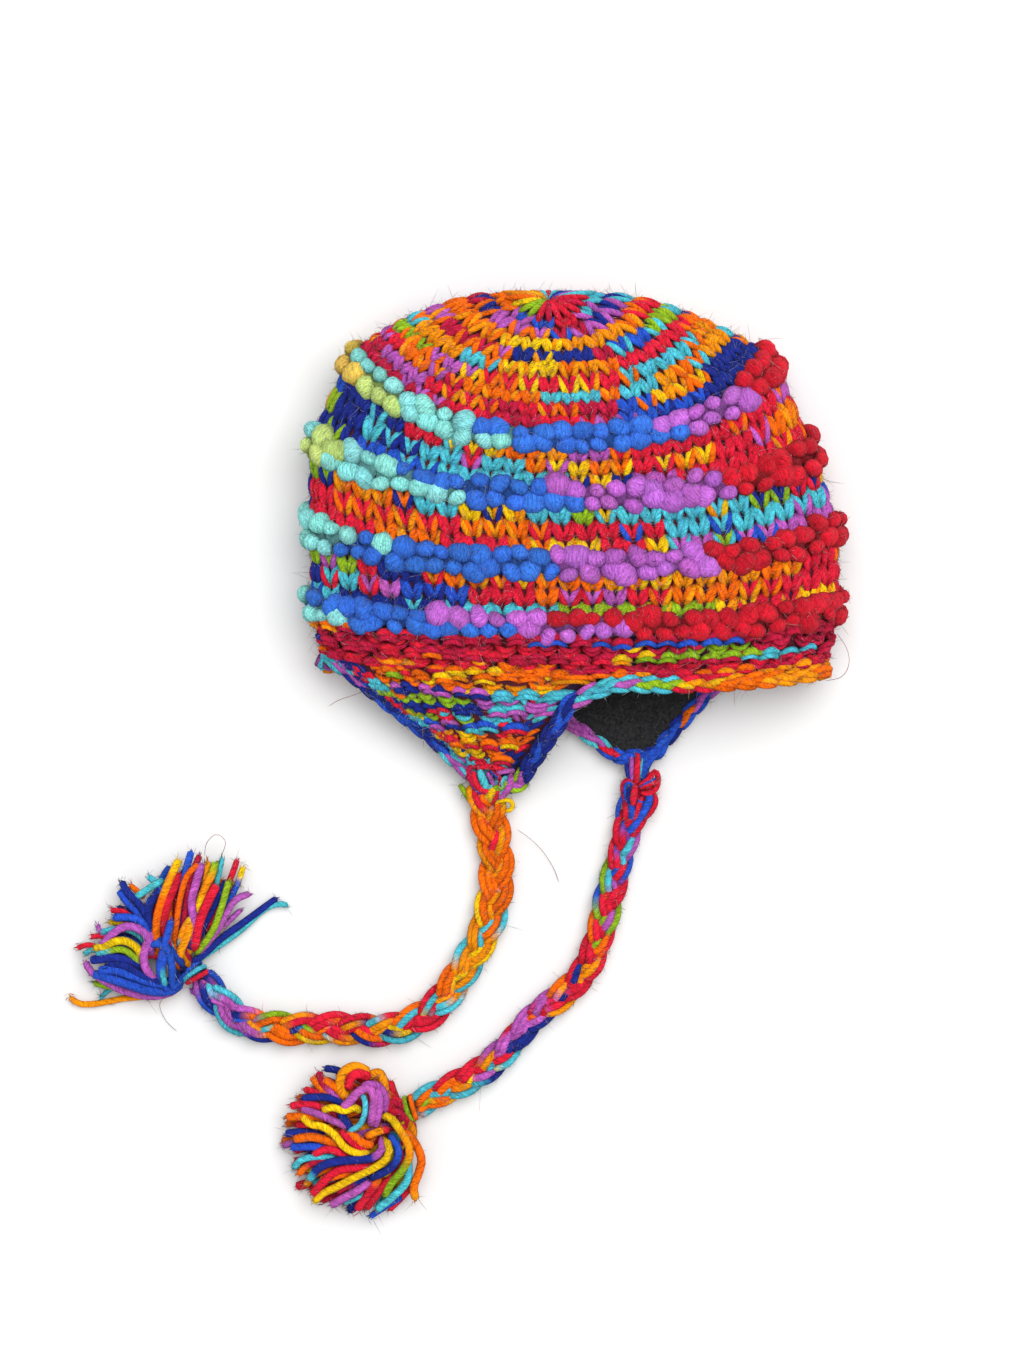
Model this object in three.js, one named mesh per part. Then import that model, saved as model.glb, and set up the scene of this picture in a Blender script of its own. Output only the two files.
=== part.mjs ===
import * as THREE from 'three';

// A hand-knitted ear-flap beanie with two braided ties, lying on its side on the surface z = 0.
// +X runs along the brim, +Y from the brim to the top of the crown, +Z up. Millimetres.
const wall = 7; // knitted wall, with its stitches
const fleece = 1.8; // lining cloth
const gap = 0.4; // clearance between neighbouring pieces
const valley = 2.5; // how far the plain knitting lies below the bobble bands
const bandHalf = 0.2; // half width of a bobble band, in course steps
const bandShoulder = 0.16; // slope beside a bobble band, in course steps
const edgingRadius = 4.3; // crochet chain along the brim and the flaps
const edgingGaps = { brim: 0.9, flap: 2, tip: 2.3 }; // wider where the chain turns a corner
const edgingSteps = 112;
const edgingSides = 8;
const edgingClear = 5; // degrees of brim left free beside a flap's corner
const edgingPlaces = { front: 19, back: 12 }; // points along the brim's two stretches
const flapPlaces = [0.2, 0.37, 0.54, 0.71, 0.88]; // points down a flap's edge, as shares of its length
const nudge = 0.05; // a small step along an edge, which gives its direction
const furtherIn = { brim: 0.3, tip: 0.8 }; // a course step and a flap share that lie behind the edge
const liningFrom = 0.06; // where the lining starts and ends in the crown, in course steps
const liningTo = 1.7;
const roundness = 0.77; // exponent of a flattened course, 1 would be an ellipse
const bowing = 1.6; // exponent of a course's bow between its folds
const slices = 40; // facets around the crown

// Courses from the brim to the pole. The left and right folds, the middle of the upper layer and the
// middle of the under layer have their own places. An underZ below 0 is pressed flat by the surface.
const courses = [
  { leftX: -129, rightX: 129, leftY: -55, rightY: -59, topY: -67, underY: -56, foldZ: 20, topZ: 44, underZ: -8 },
  { leftX: -134, rightX: 135, leftY: -30, rightY: -31, topY: -42, underY: -34, foldZ: 24, topZ: 54, underZ: -8 },
  { leftX: -135, rightX: 134, leftY: 9, rightY: 9, topY: -11, underY: 2, foldZ: 26, topZ: 60, underZ: -8 },
  { leftX: -133, rightX: 122, leftY: 54, rightY: 49, topY: 23, underY: 38, foldZ: 27, topZ: 62, underZ: -8 },
  { leftX: -113, rightX: 101, leftY: 96, rightY: 94, topY: 51, underY: 75, foldZ: 28, topZ: 62, underZ: -8 },
  { leftX: -91, rightX: 71, leftY: 113, rightY: 113, topY: 77, underY: 102, foldZ: 29, topZ: 60, underZ: -3 },
  { leftX: -64, rightX: 42, leftY: 124, rightY: 124, topY: 97, underY: 121, foldZ: 31, topZ: 55, underZ: 8 },
  { leftX: -40, rightX: 15, leftY: 128, rightY: 128, topY: 109, underY: 129, foldZ: 34, topZ: 49, underZ: 20 },
  { leftX: -13, rightX: -13, leftY: 123, rightY: 123, topY: 123, underY: 123, foldZ: 40, topZ: 40, underZ: 40 },
];
const columns = Object.keys(courses[0]);
const poleStep = courses.length - 1;
const bobbleSteps = [1, 2, 3, 4]; // courses that carry a bobble band
const outerSteps = [
  0, 0.3, 0.64, 0.8, 1, 1.2, 1.36, 1.64, 1.8, 2, 2.2, 2.36, 2.64, 2.8, 3, 3.2, 3.36, 3.64, 3.8, 4, 4.2, 4.36,
  4.8, 5.3, 5.8, 6.3, 6.8, 7.3, 7.7,
];
const innerSteps = [0, 0.4, 0.9, 1.5, 2, 2.5, 3, 3.5, 4, 4.5, 5, 5.5, 6, 6.5, 7, 7.5];

// Ear flaps. Each hangs on the brim between two angles, seen along the course, and narrows to a blunt tip.
const flaps = {
  upper: {
    fromAngle: 162, toAngle: 90, inward: new THREE.Vector3(0, 0, -1), sag: 3,
    tipFrom: new THREE.Vector3(-47, -116, 11), tipTo: new THREE.Vector3(-33, -116, 11),
  },
  lower: {
    fromAngle: 301, toAngle: 256, inward: new THREE.Vector3(0, 0, 1), sag: 0,
    tipFrom: new THREE.Vector3(38, -102, 0), tipTo: new THREE.Vector3(24, -103, 0),
  },
};
const flapAcross = 12; // facets across a flap
const flapAlong = 7; // facets from the brim to the tip
const liningInset = 0.04; // free margin around a flap's lining, as a share of the flap

// Braided ties, from the flap's tip to the tassel, through points chosen by hand.
const ties = {
  upper: {
    width: 17, height: 12, steps: 22,
    route: [
      [-44, -128, 7.5], [-42, -138, 6.4], [-40, -150, 6.2], [-38.5, -161, 6.2], [-39.5, -175, 6.2],
      [-43, -190, 6.2], [-48, -202, 6.2], [-55, -214, 6.2], [-63, -226, 6.2], [-72, -235, 6.2],
      [-84, -241.5, 6.2], [-97, -245, 6.2], [-117, -244, 6.2], [-137, -244, 6.2], [-156, -243, 6.2],
      [-167, -240, 6.2], [-176, -233, 6.2], [-183, -225.5, 6.2], [-189, -218.5, 6.2],
    ],
  },
  lower: {
    width: 15, height: 11, steps: 26,
    route: [
      [31.6, -133, 6.2], [29.6, -138, 6], [26.5, -146, 5.8], [23, -160.5, 5.8], [18, -177, 5.8],
      [15, -191, 5.8], [10.5, -205, 5.8], [6, -214, 5.8], [0, -222, 5.8], [-8, -228.5, 5.8],
      [-17, -235.5, 5.8], [-24.5, -243, 5.8], [-31, -251, 5.8], [-38, -258.5, 5.8], [-47, -265.5, 5.8],
      [-59, -272.5, 5.8], [-71, -278.5, 5.8], [-80, -283, 5.8],
    ],
  },
};
const tieSides = 10;

// The loop knot that fastens the lower tie, and the yarn tassels as heaps with an outline in plan.
const knot = { x: 33, y: -123.2, length: 18, width: 19, height: 13, slices: 12, rings: 8 };
const tassels = {
  upper: {
    x: -206, y: -191, height: 27,
    outline: [
      { degrees: 0, reach: 36 }, { degrees: 30, reach: 43 }, { degrees: 65, reach: 41 },
      { degrees: 100, reach: 36 }, { degrees: 140, reach: 39 }, { degrees: 180, reach: 40 },
      { degrees: 215, reach: 47 }, { degrees: 245, reach: 40 }, { degrees: 285, reach: 31 },
      { degrees: 325, reach: 30 },
    ],
  },
  lower: {
    x: -111, y: -300.5, height: 31,
    outline: [
      { degrees: 0, reach: 37 }, { degrees: 30, reach: 34 }, { degrees: 65, reach: 35 },
      { degrees: 100, reach: 38 }, { degrees: 140, reach: 37 }, { degrees: 180, reach: 36 },
      { degrees: 225, reach: 36 }, { degrees: 270, reach: 38 }, { degrees: 315, reach: 37 },
    ],
  },
};
// Rings of a heap from its foot, which is drawn in under the widest ring, to its round top.
const heapRings = [
  { share: 0.93, rise: 0 }, { share: 1, rise: 0.14 }, { share: 0.97, rise: 0.4 }, { share: 0.84, rise: 0.7 },
  { share: 0.6, rise: 0.9 }, { share: 0.3, rise: 0.98 },
];
const heapSlices = 24;

const colours = {
  crown: 0xb3203a, flap: 0xe8641c, fleece: 0x1b1a1d, edging: 0x2a3fa8, braid: 0xef7a1a, knot: 0xc8202c,
  tassel: 0x3b4db8,
};

const { lerp, degToRad, smoothstep } = THREE.MathUtils;

// Uniform Catmull-Rom through a table column.
function spline(values, step) {
  const last = values.length - 1;
  const index = Math.min(Math.floor(step), last - 1);
  const share = step - index;
  const at = (place) => values[Math.min(Math.max(place, 0), last)];
  const [before, from, to, after] = [at(index - 1), at(index), at(index + 1), at(index + 2)];
  const slopeFrom = (to - before) / 2;
  const slopeTo = (after - from) / 2;
  const cube = 2 * from - 2 * to + slopeFrom + slopeTo;
  const square = 3 * to - 3 * from - 2 * slopeFrom - slopeTo;
  return ((cube * share + square) * share + slopeFrom) * share + from;
}

// A point of the wall's smooth outer form. Angle 0 is the right fold and 90 degrees the upper layer.
function formPoint(angle, step) {
  const course = {};
  for (const column of columns) {
    course[column] = spline(courses.map((row) => row[column]), step);
  }
  const cosine = Math.cos(angle);
  const sine = Math.sin(angle);
  const across = (1 + Math.sign(cosine) * Math.abs(cosine) ** roundness) / 2;
  const middleY = sine > 0 ? course.topY : course.underY;
  const middleZ = sine > 0 ? course.topZ : course.underZ;
  const bow = (middleY - (course.leftY + course.rightY) / 2) * Math.abs(sine) ** bowing;
  const z = lerp(course.foldZ, middleZ, Math.abs(sine) ** roundness);
  return new THREE.Vector3(
    lerp(course.leftX, course.rightX, across),
    lerp(course.leftY, course.rightY, across) + bow,
    Math.max(z, 0),
  );
}

function formNormal(angle, step) {
  const turn = 0.07;
  const climb = 0.1;
  const low = Math.max(step - climb, 0);
  const high = Math.min(step + climb, poleStep - climb);
  const around = formPoint(angle + turn, step).sub(formPoint(angle - turn, step));
  const up = formPoint(angle, high).sub(formPoint(angle, low));
  return up.cross(around).normalize();
}

// A point at a depth below the smooth outer form.
function wallPoint(angle, step, depth) {
  return formPoint(angle, step).addScaledVector(formNormal(angle, step), -depth);
}

// The outer face: bobble bands stand proud, plain knitting lies lower, and the resting side is flat.
function outerPoint(angle, step) {
  let ridge = 0;
  for (const bobbleStep of bobbleSteps) {
    const away = Math.abs(step - bobbleStep);
    ridge = Math.max(ridge, 1 - smoothstep(away, bandHalf, bandHalf + bandShoulder));
  }
  const lifted = smoothstep(formPoint(angle, step).z, 0, 2 * wall);
  return wallPoint(angle, step, valley * (1 - ridge) * lifted);
}

// A mesh from its points and the numbers of each face's corners.
function meshFromFaces(points, faces) {
  const geometry = new THREE.BufferGeometry();
  geometry.setAttribute('position', new THREE.Float32BufferAttribute(points.flatMap((p) => p.toArray()), 3));
  geometry.setIndex(faces.flat());
  geometry.computeVertexNormals();
  return geometry;
}

function quad(a, b, c, d) {
  return [a, b, c, a, c, d];
}

// One side of the crown, a cap of rings drawn together at a pole. A cap that faces in is wound back to front.
function addCap(points, faces, steps, pointAt, pole, facesIn) {
  const first = points.length;
  for (const step of steps) {
    for (let slice = 0; slice < slices; slice += 1) {
      points.push(pointAt((2 * Math.PI * slice) / slices, step));
    }
  }
  const top = points.push(pole) - 1;
  for (let slice = 0; slice < slices; slice += 1) {
    const beside = (slice + 1) % slices;
    const [left, right] = facesIn ? [beside, slice] : [slice, beside];
    for (let low = first; low < top - slices; low += slices) {
      faces.push(quad(low + left, low + slices + left, low + slices + right, low + right));
    }
    faces.push([top - slices + left, top, top - slices + right]);
  }
  return first;
}

// The crown is open at the brim and gathered to a point at the pole, inside and outside.
function crownGeometry() {
  const points = [];
  const faces = [];
  const pole = formPoint(0, poleStep);
  const poleNormal = new THREE.Vector3();
  for (let slice = 0; slice < slices; slice += 1) {
    poleNormal.add(formNormal((2 * Math.PI * slice) / slices, outerSteps.at(-1)));
  }
  const innerPole = pole.clone().addScaledVector(poleNormal.normalize(), -wall);
  const innerPoint = (angle, step) => wallPoint(angle, step, wall);
  const outer = addCap(points, faces, outerSteps, outerPoint, pole, false);
  const inner = addCap(points, faces, innerSteps, innerPoint, innerPole, true);
  for (let slice = 0; slice < slices; slice += 1) {
    const beside = (slice + 1) % slices;
    faces.push(quad(outer + slice, outer + beside, inner + beside, inner + slice));
  }
  return meshFromFaces(points, faces);
}

// The fleece lining is a ring inside the brim.
function liningGeometry() {
  const points = [];
  const faces = [];
  const depths = [wall + gap, wall + gap + fleece];
  const steps = [liningFrom, liningTo / 2, liningTo];
  const ring = [
    ...steps.map((step) => ({ step, depth: depths[0] })),
    ...[...steps].reverse().map((step) => ({ step, depth: depths[1] })),
  ];
  for (const { step, depth } of ring) {
    for (let slice = 0; slice < slices; slice += 1) {
      points.push(wallPoint((2 * Math.PI * slice) / slices, step, depth));
    }
  }
  for (let row = 0; row < ring.length; row += 1) {
    const next = (row + 1) % ring.length;
    for (let slice = 0; slice < slices; slice += 1) {
      const beside = (slice + 1) % slices;
      faces.push(quad(row * slices + slice, next * slices + slice, next * slices + beside, row * slices + beside));
    }
  }
  return meshFromFaces(points, faces);
}

// A point of a flap: across runs from its first edge to its second, along from the brim to the tip.
function flapPoint(flap, across, along, depth) {
  const angle = degToRad(lerp(flap.fromAngle, flap.toAngle, across));
  const top = wallPoint(angle, 0, depth);
  top.y -= gap;
  const tip = flap.tipFrom.clone().lerp(flap.tipTo, across).addScaledVector(flap.inward, depth);
  const point = top.lerp(tip, along);
  point.z += flap.sag * Math.sin(Math.PI * along);
  return point;
}

// A plate that follows a flap between two depths, inside a margin.
function plateGeometry(flap, margin, depthOut, depthIn) {
  const points = [];
  const faces = [];
  const across = (column) => lerp(margin, 1 - margin, column / flapAcross);
  const along = (row) => lerp(margin / 4, 1 - margin, row / flapAlong);
  for (const depth of [depthOut, depthIn]) {
    for (let row = 0; row <= flapAlong; row += 1) {
      for (let column = 0; column <= flapAcross; column += 1) {
        points.push(flapPoint(flap, across(column), along(row), depth));
      }
    }
  }
  const at = (side, row, column) => (side * (flapAlong + 1) + row) * (flapAcross + 1) + column;
  for (let row = 0; row < flapAlong; row += 1) {
    for (let column = 0; column < flapAcross; column += 1) {
      const corners = [[row, column], [row + 1, column], [row + 1, column + 1], [row, column + 1]];
      faces.push(quad(...corners.map(([r, c]) => at(0, r, c))));
      faces.push(quad(...corners.reverse().map(([r, c]) => at(1, r, c))));
    }
    faces.push(quad(at(0, row, 0), at(1, row, 0), at(1, row + 1, 0), at(0, row + 1, 0)));
    const end = flapAcross;
    faces.push(quad(at(0, row, end), at(0, row + 1, end), at(1, row + 1, end), at(1, row, end)));
  }
  for (let column = 0; column < flapAcross; column += 1) {
    const end = flapAlong;
    faces.push(quad(at(0, 0, column), at(0, 0, column + 1), at(1, 0, column + 1), at(1, 0, column)));
    faces.push(quad(at(0, end, column), at(1, end, column), at(1, end, column + 1), at(0, end, column + 1)));
  }
  return meshFromFaces(points, faces);
}

// A place of the edging beside an edge: away from the point further in, square to the edge and the wall.
function besideEdge(edge, inside, along, through, clearance) {
  const away = edge.clone().sub(inside);
  for (const direction of [along, through]) {
    direction.normalize();
    away.addScaledVector(direction, -away.dot(direction));
  }
  const place = edge.clone().addScaledVector(away.normalize(), edgingRadius + clearance);
  place.z = Math.max(place.z, edgingRadius + gap);
  return place;
}

function brimEdging(degrees) {
  const angle = degToRad(degrees);
  const along = wallPoint(angle + nudge, 0, wall / 2).sub(wallPoint(angle - nudge, 0, wall / 2));
  const inside = wallPoint(angle, furtherIn.brim, wall / 2);
  return besideEdge(wallPoint(angle, 0, wall / 2), inside, along, formNormal(angle, 0), edgingGaps.brim);
}

function flapEdging(flap, across, along) {
  const edge = flapPoint(flap, across, along, wall / 2);
  const tangent = flapPoint(flap, across, along + nudge, wall / 2).sub(edge);
  const through = flapPoint(flap, across, along, wall).sub(edge);
  return besideEdge(edge, flapPoint(flap, 0.5, along, wall / 2), tangent, through, edgingGaps.flap);
}

function tipEdging(flap, across) {
  const edge = flapPoint(flap, across, 1, wall / 2);
  const inside = flapPoint(flap, 0.5, furtherIn.tip, wall / 2);
  return besideEdge(edge, inside, new THREE.Vector3(), flap.inward.clone(), edgingGaps.tip);
}

// Down one edge of a flap, round its tip and up the other.
function flapEdgingPoints(flap) {
  return [
    ...flapPlaces.map((along) => flapEdging(flap, 0, along)),
    ...[0, 0.5, 1].map((across) => tipEdging(flap, across)),
    ...[...flapPlaces].reverse().map((along) => flapEdging(flap, 1, along)),
  ];
}

// The chain runs around the brim and both flaps without a break.
function edgingGeometry() {
  const brim = (from, to, count) => {
    const places = [];
    for (let index = 0; index < count; index += 1) {
      places.push(brimEdging(lerp(from, to, index / (count - 1))));
    }
    return places;
  };
  const { upper, lower } = flaps;
  const points = [
    ...brim(upper.toAngle - edgingClear, lower.fromAngle - 360 + edgingClear, edgingPlaces.front),
    ...flapEdgingPoints(lower),
    ...brim(lower.toAngle - edgingClear, upper.fromAngle + edgingClear, edgingPlaces.back),
    ...flapEdgingPoints(upper),
  ];
  const curve = new THREE.CatmullRomCurve3(points, true);
  return new THREE.TubeGeometry(curve, edgingSteps, edgingRadius, edgingSides, true);
}

// A laid cord keeps its flat side down: its section never turns about its own length.
class LaidCurve extends THREE.CatmullRomCurve3 {
  computeFrenetFrames(segments) {
    const frames = { tangents: [], normals: [], binormals: [] };
    const up = new THREE.Vector3(0, 0, 1);
    for (let index = 0; index <= segments; index += 1) {
      const tangent = this.getTangentAt(index / segments);
      const side = new THREE.Vector3().crossVectors(up, tangent).normalize();
      frames.tangents.push(tangent);
      frames.normals.push(side);
      frames.binormals.push(new THREE.Vector3().crossVectors(tangent, side));
    }
    return frames;
  }
}

function tieGeometry({ width, height, steps, route }) {
  const section = new THREE.Shape().absellipse(0, 0, width / 2, height / 2, 0, 2 * Math.PI);
  const extrudePath = new LaidCurve(route.map((place) => new THREE.Vector3(...place)));
  return new THREE.ExtrudeGeometry(section, { extrudePath, steps, curveSegments: tieSides / 2 });
}

function knotGeometry({ x, y, length, width, height, slices: sides, rings }) {
  const geometry = new THREE.SphereGeometry(0.5, sides, rings);
  geometry.scale(width, length, height);
  geometry.translate(x, y, height / 2 + gap);
  return geometry;
}

// Reach of a heap's outline in one direction, smooth all the way round.
function reachAt(outline, degrees) {
  const next = outline.findIndex((row) => row.degrees > degrees);
  const to = next < 0 ? { degrees: 360, reach: outline[0].reach } : outline[next];
  const from = next < 0 ? outline[outline.length - 1] : outline[next - 1];
  const share = (degrees - from.degrees) / (to.degrees - from.degrees);
  return lerp(from.reach, to.reach, smoothstep(share, 0, 1));
}

// A heap of yarn ends: a flat foot, steep sides and a round top.
function heapGeometry({ x, y, height, outline }) {
  const points = [];
  const faces = [];
  for (const { share, rise } of heapRings) {
    for (let slice = 0; slice < heapSlices; slice += 1) {
      const degrees = (360 * slice) / heapSlices;
      const reach = share * reachAt(outline, degrees);
      const angle = degToRad(degrees);
      points.push(new THREE.Vector3(x + reach * Math.cos(angle), y + reach * Math.sin(angle), rise * height));
    }
  }
  const bottom = points.length;
  const top = bottom + 1;
  points.push(new THREE.Vector3(x, y, 0), new THREE.Vector3(x, y, height));
  const lastRing = (heapRings.length - 1) * heapSlices;
  for (let slice = 0; slice < heapSlices; slice += 1) {
    const beside = (slice + 1) % heapSlices;
    for (let row = 0; row < heapRings.length - 1; row += 1) {
      const low = row * heapSlices;
      const high = low + heapSlices;
      faces.push(quad(low + slice, low + beside, high + beside, high + slice));
    }
    faces.push([bottom, beside, slice], [lastRing + slice, lastRing + beside, top]);
  }
  return meshFromFaces(points, faces);
}

const hat = new THREE.Group();

function addPiece(name, geometry, colour, roughness) {
  const material = new THREE.MeshStandardMaterial({ color: colour, roughness, metalness: 0 });
  const piece = new THREE.Mesh(geometry, material);
  piece.name = name;
  hat.add(piece);
}

addPiece('crown', crownGeometry(), colours.crown, 0.95);
addPiece('lining_band', liningGeometry(), colours.fleece, 1);
addPiece('rim_edging', edgingGeometry(), colours.edging, 0.9);
for (const side of ['upper', 'lower']) {
  const flap = flaps[side];
  const liningTop = wall + gap;
  addPiece(`ear_flap_${side}`, plateGeometry(flap, 0, 0, wall), colours.flap, 0.95);
  addPiece(`flap_lining_${side}`, plateGeometry(flap, liningInset, liningTop, liningTop + fleece), colours.fleece, 1);
  addPiece(`braid_${side}`, tieGeometry(ties[side]), colours.braid, 0.9);
  addPiece(`tassel_${side}`, heapGeometry(tassels[side]), colours.tassel, 0.95);
}
addPiece('tie_knot', knotGeometry(knot), colours.knot, 0.9);

export default hat;
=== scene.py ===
import math
import bpy
import numpy as np
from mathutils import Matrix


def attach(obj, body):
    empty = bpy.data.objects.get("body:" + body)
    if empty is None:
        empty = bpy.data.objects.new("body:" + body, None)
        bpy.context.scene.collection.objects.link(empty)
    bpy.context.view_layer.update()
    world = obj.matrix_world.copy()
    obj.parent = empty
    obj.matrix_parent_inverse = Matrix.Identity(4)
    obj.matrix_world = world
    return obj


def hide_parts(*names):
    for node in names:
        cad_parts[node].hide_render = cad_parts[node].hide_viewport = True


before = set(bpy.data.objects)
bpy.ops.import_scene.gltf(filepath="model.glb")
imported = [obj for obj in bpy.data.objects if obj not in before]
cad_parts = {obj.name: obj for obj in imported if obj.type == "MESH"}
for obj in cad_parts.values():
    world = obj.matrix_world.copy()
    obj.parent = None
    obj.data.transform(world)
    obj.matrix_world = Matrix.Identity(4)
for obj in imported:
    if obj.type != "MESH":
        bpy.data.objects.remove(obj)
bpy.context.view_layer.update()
dice = np.random.default_rng(11)
mm = 0.001  # the tables below are in millimetres

# colours of the dyed yarn and of the thick roving, as screen colours
yarnDyes = {"R": "e8203c", "C": "c81c42", "O": "ff7008", "A": "fd980c", "Y": "ffcc10", "N": "1f2f8e",
            "B": "2a58d0", "T": "52c8dc", "V": "c25ec0", "L": "98c024"}
rovingDyes = {"a": "8fe4e0", "g": "c6e080", "y": "f6cc5a", "b": "3a78e6", "v": "c86cd8", "r": "d8182e"}
everyDye = "RCOAYNBTV"
amberShare = 0.25  # orange and yellow that turn out amber


def dyed(screen):  # screen colour to the linear colour that shaders take
    part = np.array([int(screen[i:i + 2], 16) for i in (0, 2, 4)]) / 255
    return np.where(part < 0.04045, part / 12.92, ((part + 0.055) / 1.055) ** 2.4)


dyeTable = {letter: dyed(screen) for letter, screen in {**yarnDyes, **rovingDyes}.items()}


def unit(vectors):
    return vectors / np.maximum(np.linalg.norm(vectors, axis=-1, keepdims=True), 1e-9)


def ambered(letter):
    return "A" if letter in "OY" and dice.random() < amberShare else letter


def tinted(letters, spread=0.1):  # one linear colour for each letter, no two quite alike
    base = np.array([dyeTable[ambered(letter)] for letter in letters])
    return base * dice.uniform(1 - spread, 1 + spread, (len(base), 1)) * dice.uniform(0.94, 1.06, base.shape)


def zoneAt(zones, share):  # zones are listed by the share at which each one ends
    return next(dyes for end, dyes in zones if share < end)


def swell(t, start, end, power):  # thickness along a strand that is thin at its ends
    return np.sin(math.pi * (start + (end - start) * t)) ** power


def endShade(points, dark):  # the tucked ends of a strand are darker than its middle
    return (1 - dark + dark * swell(np.linspace(0, 1, points), 0.06, 0.94, 0.8))[None, :, None]


def runLength(lines):  # distance along a line at each of its points
    steps = np.linalg.norm(np.diff(lines, axis=-2), axis=-1)
    return np.concatenate((np.zeros((*steps.shape[:-1], 1)), np.cumsum(steps, -1)), -1)


def readOff(at, knots, values):  # places or colours between the knots of a table
    return np.stack([np.interp(at, knots, values[:, k]) for k in range(3)], -1)


# camera

viewSet = {"x": -31, "y": -69.25, "above": 2200, "atHeight": 25, "shown": 682.5}
bpy.ops.object.select_all(action="DESELECT")
bpy.ops.object.camera_add(location=(viewSet["x"] * mm, viewSet["y"] * mm,
                                    (viewSet["above"] + viewSet["atHeight"]) * mm), rotation=(0, 0, 0))
camera = bpy.context.object
camera.name = "camera_above"
camera.data.lens = camera.data.sensor_width * viewSet["above"] / viewSet["shown"]
camera.data.clip_end = 20
bpy.context.scene.camera = camera
print("camera done")

# materials


def setInput(tree, socket, value):
    if isinstance(value, bpy.types.NodeSocket):
        tree.links.new(value, socket)
    else:
        socket.default_value = value


def setInputs(tree, node, **inputs):
    for name, value in inputs.items():
        setInput(tree, node.inputs[name.replace("_", " ")], value)


def newNode(tree, kind, **inputs):
    node = tree.nodes.new("ShaderNode" + kind)
    setInputs(tree, node, **inputs)
    return node


def newMaterial(name):
    material = bpy.data.materials.new(name)
    material.use_nodes = True
    return material, material.node_tree, material.node_tree.nodes["Principled BSDF"]


def noise(tree, scale, **inputs):
    coords = tree.nodes.new("ShaderNodeTexCoord")
    return newNode(tree, "TexNoise", Vector=coords.outputs["Object"], Scale=scale, **inputs).outputs[0]


def colourRamp(tree, factor, first, last, *others):
    ramp = newNode(tree, "ValToRGB", Fac=factor)
    for element, (position, colour) in zip(ramp.color_ramp.elements, (first, last)):
        element.position, element.color = position, (*colour, 1)
    for position, colour in others:
        ramp.color_ramp.elements.new(position).color = (*colour, 1)
    return ramp.outputs[0]


def sums(tree, operation, *values):
    node = tree.nodes.new("ShaderNodeMath")
    node.operation = operation
    for socket, value in zip(node.inputs, values):
        setInput(tree, socket, value)
    return node.outputs[0]


# yarn: the yarn map holds millimetres along a strand and the turn round it
yarnInputs = ("Twist", "Plies", "Across", "Along", "Contrast")


def yarnGroup():
    tree = bpy.data.node_groups.new("yarn_fibres", "ShaderNodeTree")
    sockets = [("Tint", "INPUT", "Color"), *((name, "INPUT", "Float") for name in yarnInputs),
               ("Colour", "OUTPUT", "Color"), ("Height", "OUTPUT", "Float")]
    for name, way, kind in sockets:
        tree.interface.new_socket(name, in_out=way, socket_type="NodeSocket" + kind)
    given, made = tree.nodes.new("NodeGroupInput"), tree.nodes.new("NodeGroupOutput")
    uv = tree.nodes.new("ShaderNodeUVMap")
    uv.uv_map = "yarn"
    parts = newNode(tree, "SeparateXYZ", Vector=uv.outputs[0])
    length, turn = parts.outputs[0], parts.outputs[1]
    twisted = sums(tree, "ADD", turn, sums(tree, "MULTIPLY", length, given.outputs["Twist"]))
    angle = sums(tree, "MULTIPLY", twisted, 2 * math.pi)
    ply = sums(tree, "SINE", sums(tree, "MULTIPLY", angle, given.outputs["Plies"]))
    around = given.outputs["Across"]
    place = newNode(tree, "CombineXYZ", X=sums(tree, "MULTIPLY", length, given.outputs["Along"]),
                    Y=sums(tree, "MULTIPLY", sums(tree, "COSINE", angle), around),
                    Z=sums(tree, "MULTIPLY", sums(tree, "SINE", angle), around))
    fibres = newNode(tree, "TexNoise", Vector=place.outputs[0], Scale=1.0, Detail=3.0, Roughness=0.65)
    patches, grain = noise(tree, 160, Detail=2), noise(tree, 1300, Detail=2)
    streak = sums(tree, "MULTIPLY", sums(tree, "SUBTRACT", fibres.outputs[0], 0.5), given.outputs["Contrast"])
    light = sums(tree, "MULTIPLY", sums(tree, "ADD", streak, 0.97), sums(tree, "MULTIPLY_ADD", patches, 0.5, 0.76))
    light = sums(tree, "MULTIPLY", light, sums(tree, "ADD", grain, 0.5))
    grey = newNode(tree, "CombineColor", Red=light, Green=light, Blue=light)
    mix = tree.nodes.new("ShaderNodeMix")
    mix.data_type, mix.blend_type = "RGBA", "MULTIPLY"
    mix.inputs[0].default_value = 1.0
    tree.links.new(given.outputs["Tint"], mix.inputs[6])
    tree.links.new(grey.outputs[0], mix.inputs[7])
    tree.links.new(mix.outputs[2], made.inputs["Colour"])
    height = sums(tree, "MULTIPLY_ADD", ply, 0.14, fibres.outputs[0])
    height = sums(tree, "MULTIPLY_ADD", grain, 0.45, height)
    tree.links.new(height, made.inputs["Height"])
    return tree


yarnFibres = yarnGroup()


def woolMaterial(name, look):
    material, tree, shader = newMaterial(name)
    dye = tree.nodes.new("ShaderNodeAttribute")
    dye.attribute_name = "tint"
    group = tree.nodes.new("ShaderNodeGroup")
    group.node_tree = yarnFibres
    setInputs(tree, group, Tint=dye.outputs["Color"], **{key: look[key] for key in yarnInputs})
    bump = newNode(tree, "Bump", Strength=look["bump"], Distance=look["deep"], Height=group.outputs["Height"])
    setInputs(tree, shader, Base_Color=group.outputs["Colour"], Normal=bump.outputs[0], Roughness=0.88,
              Specular_IOR_Level=0.06, Sheen_Weight=look["sheen"], Sheen_Roughness=0.45)
    return material


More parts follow.
